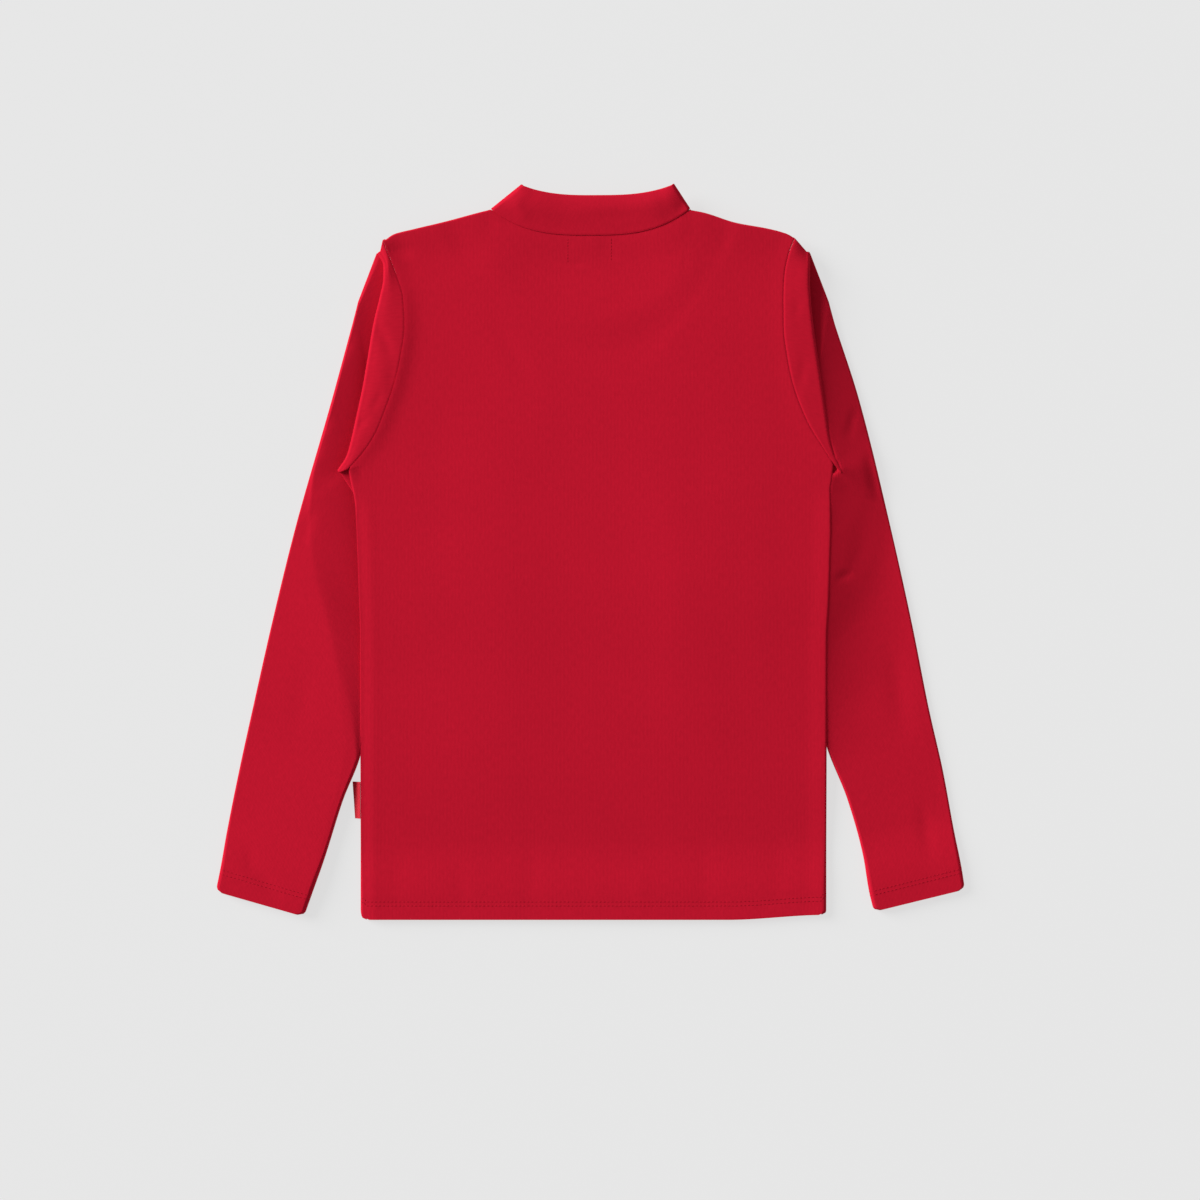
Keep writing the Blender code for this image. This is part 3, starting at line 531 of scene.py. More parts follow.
def cloth_wall(name, middle, normal, wall, cloth_place, material, around=False):
    """Make a closed wall: half its thickness each side of a grid of middle points.

    middle and normal are rows x columns x 3, wall is a thickness or rows x columns of them, and
    cloth_place gives each point's place in the flat cloth. With around set, the last column
    joins the first, so that the wall is a tube.
    """
    rows, columns = middle.shape[:2]
    half = np.broadcast_to(np.asarray(wall, float) / 2, (rows, columns))[..., None]
    outer = middle + normal * half
    inner = middle - normal * half
    points = np.concatenate((outer.reshape(-1, 3), inner.reshape(-1, 3)))
    index = np.arange(rows * columns).reshape(rows, columns)
    if around:
        index = np.concatenate((index, index[:, :1]), axis=1)
    under = index + rows * columns
    sides = [cells(index), cells(under)[:, ::-1]]
    sides.append(cells(np.stack((index[0], under[0])))[:, ::-1])
    sides.append(cells(np.stack((index[-1], under[-1]))))
    if not around:
        sides.append(cells(np.stack((index[:, 0], under[:, 0]))))
        sides.append(cells(np.stack((index[:, -1], under[:, -1])))[:, ::-1])
    faces = np.concatenate(sides)
    if volume(points, faces) < 0:
        faces = faces[:, ::-1]
    uv = np.tile(cloth_place.reshape(-1, 2), (2, 1))
    piece = make_mesh(name, points, faces, material, uv)
    piece.data.set_sharp_from_angle(angle=np.radians(60.0))
    return piece, outer


# Sleeves

class Sleeve:
    """The lines in plan that one sleeve is built on, in out and y."""

    def __init__(self, side):
        self.side = side
        self.sign = SIDE_SIGN[side]
        self.flip = np.array((self.sign, 1.0))
        knots = np.arange(len(FOLDS))
        depth, turn, lines = (curve(knots, column(FOLDS, name), SEAM_AT)
                              for name in ("depth", "turn", side))
        self.seam = lines[:, :2]
        self.edge = lines[:, 2:]
        self.turn = np.radians(turn)
        self.inward = beside(self.edge)
        self.seam_inward = beside(self.seam)
        self.ridge = self.edge + self.inward * FOLD_REACH * np.sin(self.turn / 2)[:, None]
        step = 2 * FOLD_RADIUS * np.sin(self.turn)[:, None]
        self.valley = self.ridge + FOLD_RUN * depth[:, None] - self.inward * step
        self.rise = 2 * FOLD_RADIUS * (1 - np.cos(self.turn))
        self.across = run_length(self.valley)
        self.width = np.maximum(np.linalg.norm(self.seam - self.edge, axis=1), CROWN_LEAST)

    def edges(self, along):
        """The inner and outer edges of the flat sleeve, and the room inside at each."""
        lines, inner_room, outer_room = (read(SECTIONS, name, along)
                                         for name in (self.side, "inner_room", "outer_room"))
        return lines[:, :2], lines[:, 2:], inner_room, outer_room

    def cover(self):
        """Plan outline of what lies on the sleeve: the body's side and the crescent."""
        side = np.stack((column(SIDES, self.side + "_out"), column(SIDES, "y")), 1)
        few = np.linspace(0, len(SEAM_AT) - 1, COVER_POINTS).astype(int)
        return np.concatenate((((0.0, HEM_Y),), side, self.edge[few], ((0.0, COVER_TOP_Y),)))


SLEEVES = {side: Sleeve(side) for side in SIDE_SIGN}


def looseness(x, y):
    """How much looser the folded cloth lies than its solid."""
    blend = ease((x + LIFT_FULL_OUT) / (2 * LIFT_FULL_OUT))
    return mix(LOOSE["left"], LOOSE["right"], blend) * read(LIFTS, "loose", y)


def full_lift(points):
    """Height of the body's underside above the floor if the sleeves lay under all of it."""
    y = points[..., 1]
    return read(LIFTS, "height", y) + looseness(points[..., 0], y)


def from_neck(points):
    """Plan distance out from a circle that clears the collar's corners."""
    far = np.hypot(points[..., 0] - NECK_X, points[..., 1] - NECK_END_Y)
    return far - NECK_HALF - LOFT_CLEAR


def inwards(points):
    """1 where the sleeves lie under the body, easing to 0 at its middle."""
    at_shoulders = ease((points[..., 1] - LIFT_SHOULDER_Y) / LIFT_SHOULDER_FADE)
    full_out = mix(LIFT_FULL_OUT, LIFT_SHOULDER_OUT, at_shoulders)
    return ease((np.abs(points[..., 0]) - LIFT_NONE_OUT) / (full_out - LIFT_NONE_OUT))


def lift(points):
    """Height of the body's underside above the floor, where it lies on the folded sleeves.

    It falls in one long slope from where the sleeves lie to the middle of the body and to the
    hem, and in a short one at the shoulders, which stand up as one with the collar.
    """
    return full_lift(points) * inwards(points)


def shoulder_distance(points):
    """Plan distance to the nearer shoulder's edge."""
    out = np.stack((np.abs(points[..., 0]), points[..., 1]), -1)
    line = np.stack((column(SHOULDERS, "out"), column(SHOULDERS, "left_y")), 1)
    return line_distance(out, line)


def back_span(points):
    """How much the back panel stands clear of the front: it spans between sleeves and collar."""
    clear = full_lift(points) * mix(BACK_SPANS, 1, inwards(points)) - lift(points)
    return clear * ease(shoulder_distance(points) / SHOULDER_FADE)


def top_stand(points):
    """How much the back stands up at its thick seams, by the distance to them."""
    neck = neck_seam(BACK_NECK_Y, BACK_BOW)
    near = np.minimum(line_distance(points, neck[::2]), shoulder_distance(points))
    return TOP_STAND * bell(near / TOP_STAND_WIDTH)


def sleeve_middle(sleeve):
    """The sleeve's middle surface as rings: points, normals, half the layers' spacing, and wall.

    It goes from the cuff up the flat arm, round the fold below the body, up to the ridge and
    round it, and across the crescent to the seam.
    """
    inner, outer, inner_room, outer_room = sleeve.edges(SLEEVE_STATIONS)
    wall, ease_room = turn_up(SLEEVE_STATIONS)
    room = mix(inner_room[:, None], outer_room[:, None], sleeve.across) + ease_room[:, None]
    half = (wall[:, None] + room) / 2
    reach = half + wall[:, None] / 2
    line = unit(outer - inner)
    corner = round_corner(SLEEVE_STATIONS, CUFF_CORNER)[:, None]
    start = inner + line * (reach[:, :1] + corner)
    end = outer - line * (reach[:, -1:] + corner)
    plan = mix(start[:, None], end[:, None], sleeve.across[:, None])
    rings = [raised(plan, wall[:, None] + room / 2)]
    normals = [np.broadcast_to(UP, rings[0].shape)]
    halves = [half]
    walls = [np.repeat(wall[:, None], len(sleeve.across), 1)]

    def add(place, level, normal):
        rings.append(raised(place, level)[None])
        normals.append(normal[None])
        halves.append(np.full((1, len(level)), FLAT_HALF))
        walls.append(np.full((1, len(level)), CLOTH))

    def tilt(angle):
        return raised(-np.sin(angle)[:, None] * sleeve.inward, np.cos(angle))

    floor_level = np.full(len(sleeve.turn), CLOTH + GAP / 2)
    loft = looseness(sleeve.sign * sleeve.edge[:, 0], sleeve.edge[:, 1])
    for part in np.linspace(0, 1, FOLD_STEPS + 1):
        angle = sleeve.turn * part
        place = sleeve.valley + sleeve.inward * (FOLD_RADIUS * np.sin(angle))[:, None]
        add(place, floor_level + FOLD_RADIUS * (1 - np.cos(angle)), tilt(angle))
    from_valley = rings[-1][0]
    turned = sleeve.inward * (FOLD_RADIUS * np.sin(sleeve.turn))[:, None]
    half_way = floor_level + sleeve.rise / 2 + loft
    to_ridge = raised(sleeve.ridge - turned, half_way)
    for part in np.linspace(0, 1, SLOPE_STEPS + 1)[1:-1]:
        between = mix(from_valley, to_ridge, part)
        add(between[:, :2], between[:, 2], tilt(sleeve.turn))
    for part in np.linspace(0, 1, FOLD_STEPS + 1):
        angle = sleeve.turn * (1 - part)
        place = sleeve.ridge - sleeve.inward * (FOLD_RADIUS * np.sin(angle))[:, None]
        level = floor_level + loft + sleeve.rise - FOLD_RADIUS * (1 - np.cos(angle))
        add(place, level, tilt(angle))

    seam = sleeve.seam - sleeve.seam_inward * SEAM_GAP / 2
    seam_there = sleeve.seam * sleeve.flip
    seam_level = floor_level + lift(seam_there) + top_stand(seam_there)
    ridge_level = floor_level + sleeve.rise + loft
    flat_normal = np.broadcast_to(UP, (len(seam), 3))
    for part in CRESCENT_ROWS:
        place = mix(sleeve.ridge, seam, part)
        crown = read(CROWNS, sleeve.side, part)
        level = mix(ridge_level, seam_level, ease(part))
        level = level + crown * sleeve.width + creased(place * sleeve.flip, CRESCENT_CREASES)
        level = level + groove(line_distance(place, sleeve.seam))
        add(place, level, flat_normal)
    return [np.concatenate(items) for items in (rings, normals, halves, walls)]


def seam_crown(sleeve, y):
    """Extra height of the crescent where it meets the body, which the body follows."""
    width = np.interp(y, sleeve.seam[:, 1], sleeve.width, left=0.0)
    return getattr(CROWNS[-1], sleeve.side) * width


def flat_tube(middle, normal, half):
    """A flattened tube round a middle surface: top layer, rounded end, bottom layer, other end."""
    spread = half[..., None]
    top = middle + normal * spread
    bottom = middle - normal * spread
    loops = [top]
    directions = [normal]
    for end, neighbour, angles in ((-1, -2, END_CAP), (0, 1, END_CAP + np.pi)):
        away = middle[:, end] - middle[:, neighbour]
        away = away - normal[:, end] * (away * normal[:, end]).sum(-1, keepdims=True)
        away = unit(away)
        sign = 1.0 if end == -1 else -1.0
        for angle in angles:
            direction = np.cos(angle) * normal[:, end] + sign * np.sin(angle) * away
            loops.append((middle[:, end] + direction * spread[:, end])[:, None])
            directions.append(direction[:, None])
        if end == -1:
            loops.append(bottom[:, ::-1])
            directions.append(-normal[:, ::-1])
    return np.concatenate(loops, 1), np.concatenate(directions, 1)


def puffed(sleeve, points, directions):
    """Extra height of the upper layer of the flat sleeve, where nothing lies on it.

    It is height * (1 - (1 - d / inner)^RISE_POWER) + heap * (1 - d / heap_width)^heap_power, for
    d from the body's edge, and the creases. All of it comes down to the outer edge as
    1 - (1 - e / outer)^FALL_POWER, for e from there. The heap goes on under the body, where it
    falls away evenly.
    """
    inner, outer, _, _ = sleeve.edges(SLEEVE_STATIONS)
    plan = points[..., :2]
    line = unit(outer - inner)[:, None]
    from_inner = ((plan - inner[:, None]) * line).sum(-1)
    from_outer = ((outer[:, None] - plan) * line).sum(-1)
    table = np.array(PUFFS[sleeve.side], float)
    found = curve(table[:, 0], table[:, 1:], SLEEVE_STATIONS)
    height, inner_width, outer_width, heap, heap_width, heap_power = found.T[..., None]
    uncovered = outside_distance(plan, sleeve.cover())
    clear = np.clip(np.minimum(uncovered - PUFF_CLEAR, from_inner), 0, None)
    rise = 1 - (1 - np.clip(clear / inner_width, 0, 1))**RISE_POWER
    fall = 1 - (1 - np.clip(from_outer / outer_width, 0, 1))**FALL_POWER
    away = (1 - np.clip(uncovered / heap_width, 0, 1))**heap_power
    under = np.clip(1 + (uncovered + HEAP_UNDER_FROM) / HEAP_UNDER, 0, 1)
    heaped = heap * np.minimum(away, under) * np.sin(np.clip(from_inner / HEAP_END, 0, 1) * np.pi / 2)
    creases = creased(plan * sleeve.flip, SLEEVE_CREASES) * ease(clear / SLEEVE_CREASE_FADE)
    return (height * rise + heaped + creases) * fall * np.clip(directions[..., 2], 0, 1)


def tube_place(points, columns):
    """Place in the flat cloth of each point of a tube: distance round it, and along it."""
    closed = np.concatenate((points, points[:, :1]), 1)
    round_it = arc_length(closed.transpose(1, 0, 2)).T[:, :-1]
    round_it = round_it - round_it[:, columns // 2, None]
    along = arc_length(points[:, :columns]).mean(1)
    return np.stack((round_it, np.broadcast_to(along[:, None], round_it.shape)), -1)


def make_sleeve(side, material):
    """One sleeve: cuff, flat arm, the two folds below the body, and the head up to its seam."""
    sleeve = SLEEVES[side]
    middle, normal, half, wall = sleeve_middle(sleeve)
    points, directions = flat_tube(middle, normal, half)
    place = tube_place(points, len(SEAM_AT))
    flat = len(SLEEVE_STATIONS)
    ridge_out = np.interp(points[..., 1], sleeve.edge[:, 1], sleeve.edge[:, 0])
    bulge = read(BULGES, side, points[..., 1])
    points[..., 0] += bulge * ease((points[..., 0] - ridge_out) / BULGE_WIDTH)
    points[:flat, :, 2] += puffed(sleeve, points[:flat], directions[:flat])
    caps = len(END_CAP)
    walls = np.concatenate((wall, np.repeat(wall[:, -1:], caps, 1), wall[:, ::-1],
                            np.repeat(wall[:, :1], caps, 1)), 1)
    flip = np.array((sleeve.sign, 1.0, 1.0))
    return cloth_wall("knit_sleeve_" + side, points * flip, directions * flip, walls, place,
                      material, around=True)


# Collar

def neck_line(across, middle_y, end_y, half_width, centre_x, power):
    """A bowl-shaped line across the neck: y = middle + (end - middle) * |across| ^ power."""
    y = mix(middle_y, end_y, np.abs(across) ** power)
    return np.stack((centre_x + half_width * across, y), 1)


def neck_seam(middle_y, power):
    """A panel's neck seam in plan."""
    return neck_line(NECK_COLUMNS, middle_y, NECK_END_Y, NECK_HALF, NECK_X, power)


def collar_rings(steps):
    """Plan lines of the collar's back and front halves, from the neck seam to the top edge."""
    back, front = [], []
    for part in steps:
        ends = (mix(NECK_END_Y, TOP_END_Y, part), mix(NECK_HALF, TOP_HALF, part),
                mix(NECK_X, TOP_X, part))
        back.append(neck_line(NECK_COLUMNS, mix(BACK_NECK_Y, BACK_TOP_Y, part), *ends, BACK_BOW))
        front.append(neck_line(NECK_COLUMNS, mix(FRONT_NECK_Y, FRONT_TOP_Y, part), *ends, FRONT_BOW))
    return np.array(back), np.array(front)


def collar_past(back, front, end):
    """The direction in which each ring of the collar runs out at its left (0) or right (-1) end."""
    other = 1 if end == 0 else -2
    return unit(back[:, end, :2] - back[:, other, :2] + front[:, end, :2] - front[:, other, :2])


def make_collar(material):
    """The stand collar: a strip folded along its top edge into two layers, closed all round.

    The band's middle surface goes from the neck seam to the top. The strip runs up its outside,
    turns over half a circle at the top, and runs down its inside. The back half bulges by
    sin(pi * part ^ power), whose peak is at COLLAR_BULGE_AT.
    """
    back, front = collar_rings(COLLAR_PARTS)
    low = COLLAR_WALL / 2
    high = COLLAR_WALL + GAP + COLLAR_WALL / 2
    half = (high - low) / 2
    part = COLLAR_PARTS[:, None]
    power = np.log(0.5) / np.log(COLLAR_BULGE_AT)
    bulge = COLLAR_BULGE * np.sin(np.pi * part ** power)
    fade = np.sqrt(np.clip((1 - np.abs(NECK_COLUMNS)) / COLLAR_BULGE_FADE, 0, 1))
    rises = 1 + COLLAR_RISES * part
    back_z = high + bulge * fade + (lift(back[:1]) + back_span(back[:1])) * rises + TOP_STAND
    back_z = back_z + creased(back, COLLAR_CREASES) * ease(part / COLLAR_CREASE_FADE)
    back_z = back_z + groove(part * (BACK_TOP_Y - BACK_NECK_Y))
    back = raised(back, back_z)
    front = raised(front, low + lift(front[:1]) * rises)
    loops = [back]
    directions = [np.broadcast_to(UP, back.shape)]
    for end in (-1, 0):
        centre = (back[:, end] + front[:, end]) / 2
        away = raised(collar_past(back, front, end), np.zeros(len(back)))
        for angle in END_CAP if end == -1 else END_CAP[::-1]:
            direction = np.cos(angle) * UP + np.sin(angle) * away
            loops.append((centre + direction * half)[:, None])
            directions.append(direction[:, None])
        if end == -1:
            loops.append(front[:, ::-1])
            directions.append(np.broadcast_to(-UP, front.shape))
    band = np.concatenate(loops, 1)
    facing = np.concatenate(directions, 1)
    ply = (COLLAR_WALL - COLLAR_PLY) / 2
    outside = band + facing * ply
    inside = band - facing * ply
    upward = unit(band[-1] - band[-2])
    turns = HALF_TURN[:, None, None]
    over_facing = np.cos(turns) * facing[-1] + np.sin(turns) * upward
    over = band[-1] + over_facing * ply
    strip = np.concatenate((outside, over, inside[::-1]))
    strip_facing = np.concatenate((facing, over_facing, -facing[::-1]))
    round_it = arc_length(np.concatenate((band[0], band[0, :1])))[:-1]
    along = arc_length(strip).mean(1)
    place = np.stack(np.broadcast_arrays(round_it[None], along[:, None]), -1)
    return cloth_wall("knit_collar", strip, strip_facing, COLLAR_PLY, place, material, around=True)


# Body

def body_sides():
    """For each side: the main grid's edge, the middle line's true edge, curl, and its direction."""
    edges = {}
    hem = {"left": HEM_Y, "right": HEM_Y + HEM_RISE}
    for side, sleeve in SLEEVES.items():
        pit = sleeve.seam[0]
        rows = hem[side] + HEM_ROWS * (pit[1] - hem[side]) / ARMPIT_ROW
        out = read(SIDES, side + "_out", rows)
        out = out - round_corner(HEM_ROWS, HEM_CORNER)
        outline = np.stack((out, rows), 1)
        wall, room = turn_up(HEM_ROWS)
        half = (wall + room + GAP + SIDE_LOFT) / 2
        away = -beside(outline)
        base = outline - away * (half + wall / 2)[:, None]
        true = base + away * half[:, None]
        seam_away = -sleeve.seam_inward
        past = unit(sleeve.seam[:1] - sleeve.seam[1:2])
        seam_base = sleeve.seam + sleeve.seam_inward * (SEAM_GAP / 2 + SEAM_LEAD)
        seam_true = sleeve.seam + sleeve.seam_inward * SEAM_GAP / 2
        seam_base[0] = sleeve.seam[0] + sleeve.seam_inward[0] * CORNER_BASE
        seam_true[0] = sleeve.seam[0] + sleeve.seam_inward[0] * CORNER_GAP + past[0] * FLAT_HALF
        seam_away[0] = unit(seam_true[0] - seam_base[0])
        curl = np.concatenate((np.ones(len(rows) + 1), np.zeros(len(sleeve.seam) - 1)))
        edges[side] = (np.concatenate((base, seam_base)) * sleeve.flip,
                       np.concatenate((true, seam_true)) * sleeve.flip,
                       curl, np.concatenate((away, seam_away)) * sleeve.flip)
    return edges


def neck_edge(neck_y, bow):
    """A panel's edge along the neck seam, left to right, as body_sides gives an edge."""
    neck = neck_seam(neck_y, bow)
    away = beside(neck)
    base = neck - away * (SEAM_GAP / 2 + SEAM_LEAD)
    true = neck - away * SEAM_GAP / 2
    curl = np.zeros(len(neck))
    back, front = collar_rings((0.0,))
    for end, turn in ((0, -1.0), (-1, 1.0)):
        past = collar_past(back, front, end)[0]
        clear = np.array((past[1], -past[0])) * turn
        base[end] = neck[end] + clear * CORNER_BASE
        true[end] = neck[end] + clear * CORNER_GAP + past * (CLOTH + GAP + COLLAR_LOFT) / 2
        away[end] = unit(true[end] - base[end])
        curl[end] = 1.0
    return base, true, curl, away


def shoulder_edge(side, corner):
    """A panel's edge along one shoulder, from the sleeve's seam to the corner of the neck."""
    sleeve = SLEEVES[side]
    flip = sleeve.flip
    tip = sleeve.seam[-1] + sleeve.seam_inward[-1] * (SEAM_GAP / 2 + SEAM_LEAD)
    part = SHOULDER_COLUMNS
    out = mix(tip[0], corner[0] * sleeve.sign, part)
    y = curve(column(SHOULDERS, "out")[::-1], column(SHOULDERS, side + "_y")[::-1], out)
    tip_away = unit(sleeve.seam[-1] - sleeve.seam[-2])
    line_away = unit(np.array((SHOULDER_LEAN, 1.0)))
    away = unit(mix(tip_away, line_away, ease(part / SHOULDER_TURN)[:, None]))
    half = (CLOTH + GAP + SHOULDER_LOFT) / 2
    base = np.stack((out, y), 1) - away * (half + CLOTH / 2)
    base[0] = tip
    return base * flip, (base + away * half) * flip, np.ones(len(out)), away * flip


def body_top(neck_y, bow):
    """A panel's top edge, left to right: shoulder, neck seam, shoulder, as body_sides gives."""
    neck = neck_edge(neck_y, bow)
    left = shoulder_edge("left", neck[0][0])
    right = shoulder_edge("right", neck[0][-1])
    return [np.concatenate((a, b, c[::-1])) for a, b, c in zip(left, neck, right)]


def hem_line(x):
    """The hem's y: level, and rising towards the right corner."""
    return HEM_Y + HEM_RISE * ease((x - HEM_RISE_FROM) / (SIDES[0].right_out - HEM_RISE_FROM))


def patch(left, right, bottom, top, u):
    """A grid of plan points inside four edge lines, at parts u of the way across.

    Each row runs straight from side to side, plus what the bottom and top edges bend away from
    straight, which fades out towards the middle rows.
    """
    u = u[None, :, None]
    v = (run_length(left) + run_length(right))[:, None, None] / 2
    rows = (1 - u) * left[:, None] + u * right[:, None]
    bend_up = top[None] - rows[-1]
    bend_down = bottom[None] - rows[0]
    return rows + bend_up * ease((v - BEND_FROM) / (1 - BEND_FROM)) + bend_down * (1 - ease(v / BEND_FROM))


def extend(grid, true, curl, away, last):
    """Add the curled strips along one edge of a grid, which is its last or first column.

    The grid holds plan x and y, the angle turned so far, the direction of the turn, and the x
    and y where the height is read.
    """
    base = grid[:, -1 if last else 0]
    strips = []
    for angle in CURL:
        plan = mix(base[:, :2], true, np.sin(angle))
        turned = (curl * angle)[:, None]
        strips.append(np.concatenate((plan, turned, away, base[:, 5:7]), 1)[:, None])
    if not last:
        strips = strips[::-1]
    strips = np.concatenate(strips, 1)
    return np.concatenate((grid, strips) if last else (strips, grid), 1)


def back_relief(place, plan):
    """Height of the back panel above its resting level: loft, creases, seams and rolled edges."""
    left, right = SLEEVES["left"], SLEEVES["right"]
    to_left = line_distance(plan, left.seam[::3] * left.flip)
    to_right = line_distance(plan, right.seam[::3])
    to_neck = line_distance(plan, neck_seam(BACK_NECK_Y, BACK_BOW)[::2])
    to_side = edge_distance(place)
    to_edge = np.minimum.reduce((to_left, to_right, to_neck, to_side))
    relief = BODY_LOFT * ease(to_edge / BODY_LOFT_FADE)
    relief = relief * ease((place[..., 1] - HEM_Y - TURN_UP) / HEM_LOFT_FADE)
    relief = relief + creased(place, BODY_CREASES) * ease(to_edge / BACK_CREASE_FADE)
    relief = relief + groove(to_right) + BACK_GROOVE * groove(np.minimum(to_left, to_neck))
    relief = relief + top_stand(plan)
    for sleeve, far in ((left, to_left), (right, to_right)):
        relief = relief + seam_crown(sleeve, plan[..., 1]) * bell(far / SEAM_CROWN_WIDTH)
    roll = np.where(place[..., 0] < 0, EDGE_ROLL["left"], EDGE_ROLL["right"])
    return relief - roll * (1 - ease(to_side / EDGE_ROLL_WIDTH)) * below_armpit(place)


def edge_distance(place):
    """Distance in from the nearer side edge."""
    y = place[..., 1]
    left = np.interp(y, column(SIDES, "y"), column(SIDES, "left_out"))
    right = np.interp(y, column(SIDES, "y"), column(SIDES, "right_out"))
    return np.maximum(np.minimum(left + place[..., 0], right - place[..., 0]), 0.0)


def below_armpit(place):
    """1 on the body's side edges, fading to 0 towards the armpit."""
    return ease((SIDES[-1].y - LOFT_CLEAR - place[..., 1]) / LOFT_FADE)


def near_neck(place):
    """1 round the neck, where the collar's front half lies inside, fading to 0 outwards."""
    return 1 - ease(from_neck(place) / LOFT_FADE)


def carried_out(values):
    """Values along the top edge, carried out over the curled strips at both ends."""
    extra = len(CURL)
    return np.concatenate((np.repeat(values[:1], extra, 0), values, np.repeat(values[-1:], extra, 0)))


def panel_grid(neck_y, bow):
    """A panel's grid with its curled strips along the sides and the top, as extend gives it."""
    edges = body_sides()
    top_base, top_true, top_curl, top_away = body_top(neck_y, bow)
    left, right = edges["left"][0], edges["right"][0]
    top_base[0], top_base[-1] = left[-1], right[-1]
    u = run_length(body_top(BACK_NECK_Y, BACK_BOW)[0])
    bottom_x = mix(left[0, 0], right[0, 0], u)
    bottom = np.stack((bottom_x, hem_line(bottom_x)), 1)
    bottom[0], bottom[-1] = left[0], right[0]
    plan = patch(left, right, bottom, top_base, u)
    grid = np.concatenate((plan, np.zeros(plan.shape[:2] + (3,)), plan), -1)
    grid = extend(grid, *edges["right"][1:], last=True)
    grid = extend(grid, *edges["left"][1:], last=False)
    true = grid[-1, :, :2] + carried_out(top_true - top_base)
    top = (true, carried_out(top_curl), carried_out(top_away))
    return extend(grid.transpose(1, 0, 2), *top, last=True).transpose(1, 0, 2)


def make_panel(name, neck_y, bow, face, material):
    """The back (face 1, uppermost) or the front (face -1, on the floor) of the body."""
    grid = panel_grid(neck_y, bow)
    place = grid[..., 5:7]
    height = place[..., 1] - hem_line(place[..., 0])
    wall, room = turn_up(height)
    side = edge_distance(place)
    room = room + GAP + SIDE_LOFT * (1 - ease(side / SIDE_LOFT_WIDTH)) * below_armpit(place)
    room = np.maximum(room, GAP + COLLAR_LOFT * near_neck(place))
    half = (wall + room) / 2
    level = lift(place) + wall + room / 2
    angle = grid[..., 2]
    closing = 1 - np.cos(angle)
    spread = half * (1 - closing) + SEAM_GAP / 2 * closing
    middle = raised(grid[..., :2], level + face * spread)
    if face > 0:
        middle[..., 2] += back_span(place)
        middle[..., 2] += back_relief(place, grid[..., :2]) * np.cos(angle)
    normal = raised(np.sin(angle)[..., None] * grid[..., 3:5], face * np.cos(angle))
    return cloth_wall(name, middle, unit(normal), wall, middle[..., :2], material)


# Side label

def make_label(material):
    """The blank side label: a ribbon folded double, whose two layers stand out of the side seam.

    Seen from its end it is a U: out of the seam, round the fold, and back in below.
    """
    side = np.interp(LABEL_TOP_Y, column(SIDES, "y"), column(SIDES, "left_out"))
    down = np.linspace(0, 1, LABEL_ROWS)[:, None]
    y = mix(LABEL_TOP_Y, LABEL_FOOT_Y, down)
    shows = mix(LABEL_TOP_SHOWS, LABEL_FOOT_SHOWS, down)
    radius = LABEL_PLY * LABEL_FOLD
    flat = np.linspace(0, 1, LABEL_COLUMNS)
    across = np.concatenate((flat, np.ones(len(HALF_TURN)), flat[::-1]))[None]
    facing = np.concatenate((flat * 0, HALF_TURN, flat * 0 + np.pi))[None]
    out = side + SEAM_GAP + (shows - radius - LABEL_PLY / 2) * across + radius * np.sin(facing)
    seam_level = lift(np.stack((np.full_like(y, -side), y), -1)) + CLOTH + (GAP + SIDE_LOFT) / 2
    z = mix(seam_level, LABEL_LIES, ease(across)) + radius * np.cos(facing)
    z = z + LABEL_WAVE * np.sin(down * LABEL_WAVES) * across
    out, y, z, facing = np.broadcast_arrays(out, y, z, facing)
    middle = np.stack((-out, y, z), -1)
    normal = np.stack((-np.sin(facing), np.zeros_like(facing), np.cos(facing)), -1)
    place = np.stack((-y, arc_length(middle.transpose(1, 0, 2)).T), -1)
    return cloth_wall("ribbon_side_label", middle, normal, LABEL_PLY, place, material)


# Stitches

def make_stitches(name, lines, kind, material):
    """Rows of stitches: short rounded lengths of thread that lie in a line of surface points.

    Each is a hexagonal tube along five points of its line, which is thinner towards its ends.
    """
    stations = np.array((-0.5, -0.38, 0.0, 0.38, 0.5))
    girth = np.array((0.25, 0.8, 1.0, 0.8, 0.25)) * kind.thick / 2
    sink = np.array((0.9, 0.2, -0.1, 0.2, 0.9)) * kind.thick / 2
    turn = np.linspace(0, 2 * np.pi, 6, endpoint=False)
    tubes = []
    for line, facing in lines:
        run = arc_length(line)
        count = int(run[-1] // kind.pitch)
        middle = (np.arange(count) + 0.5) * run[-1] / count
        at = middle[:, None] + stations * kind.length
        spot = np.stack([np.interp(at, run, line[:, i]) for i in range(3)], -1)
        up = unit(np.stack([np.interp(at, run, facing[:, i]) for i in range(3)], -1))
        ahead = unit(np.gradient(spot, axis=1))
        side = unit(np.cross(up, ahead))
        spot = spot - up * sink[:, None]
        ring = (spot[:, :, None] + girth[:, None, None]
                * (np.cos(turn)[:, None] * side[:, :, None] + np.sin(turn)[:, None] * up[:, :, None]))
        tubes.append(ring)
    tubes = np.concatenate(tubes)
    index = np.arange(tubes[..., 0].size).reshape(tubes.shape[:3])
    wrapped = np.concatenate((index, index[:, :, :1]), 2)
    walls = np.concatenate([cells(tube) for tube in wrapped])
    ends = np.concatenate((index[:, 0, ::-1], index[:, -1]))
    caps = np.concatenate((ends[:, :4], ends[:, (0, 3, 4, 5)]))
    faces = np.concatenate((walls, caps))
    points = tubes.reshape(-1, 3)
    if volume(points, faces) < 0:
        faces = faces[:, ::-1]
    return make_mesh(name, points, faces, material)


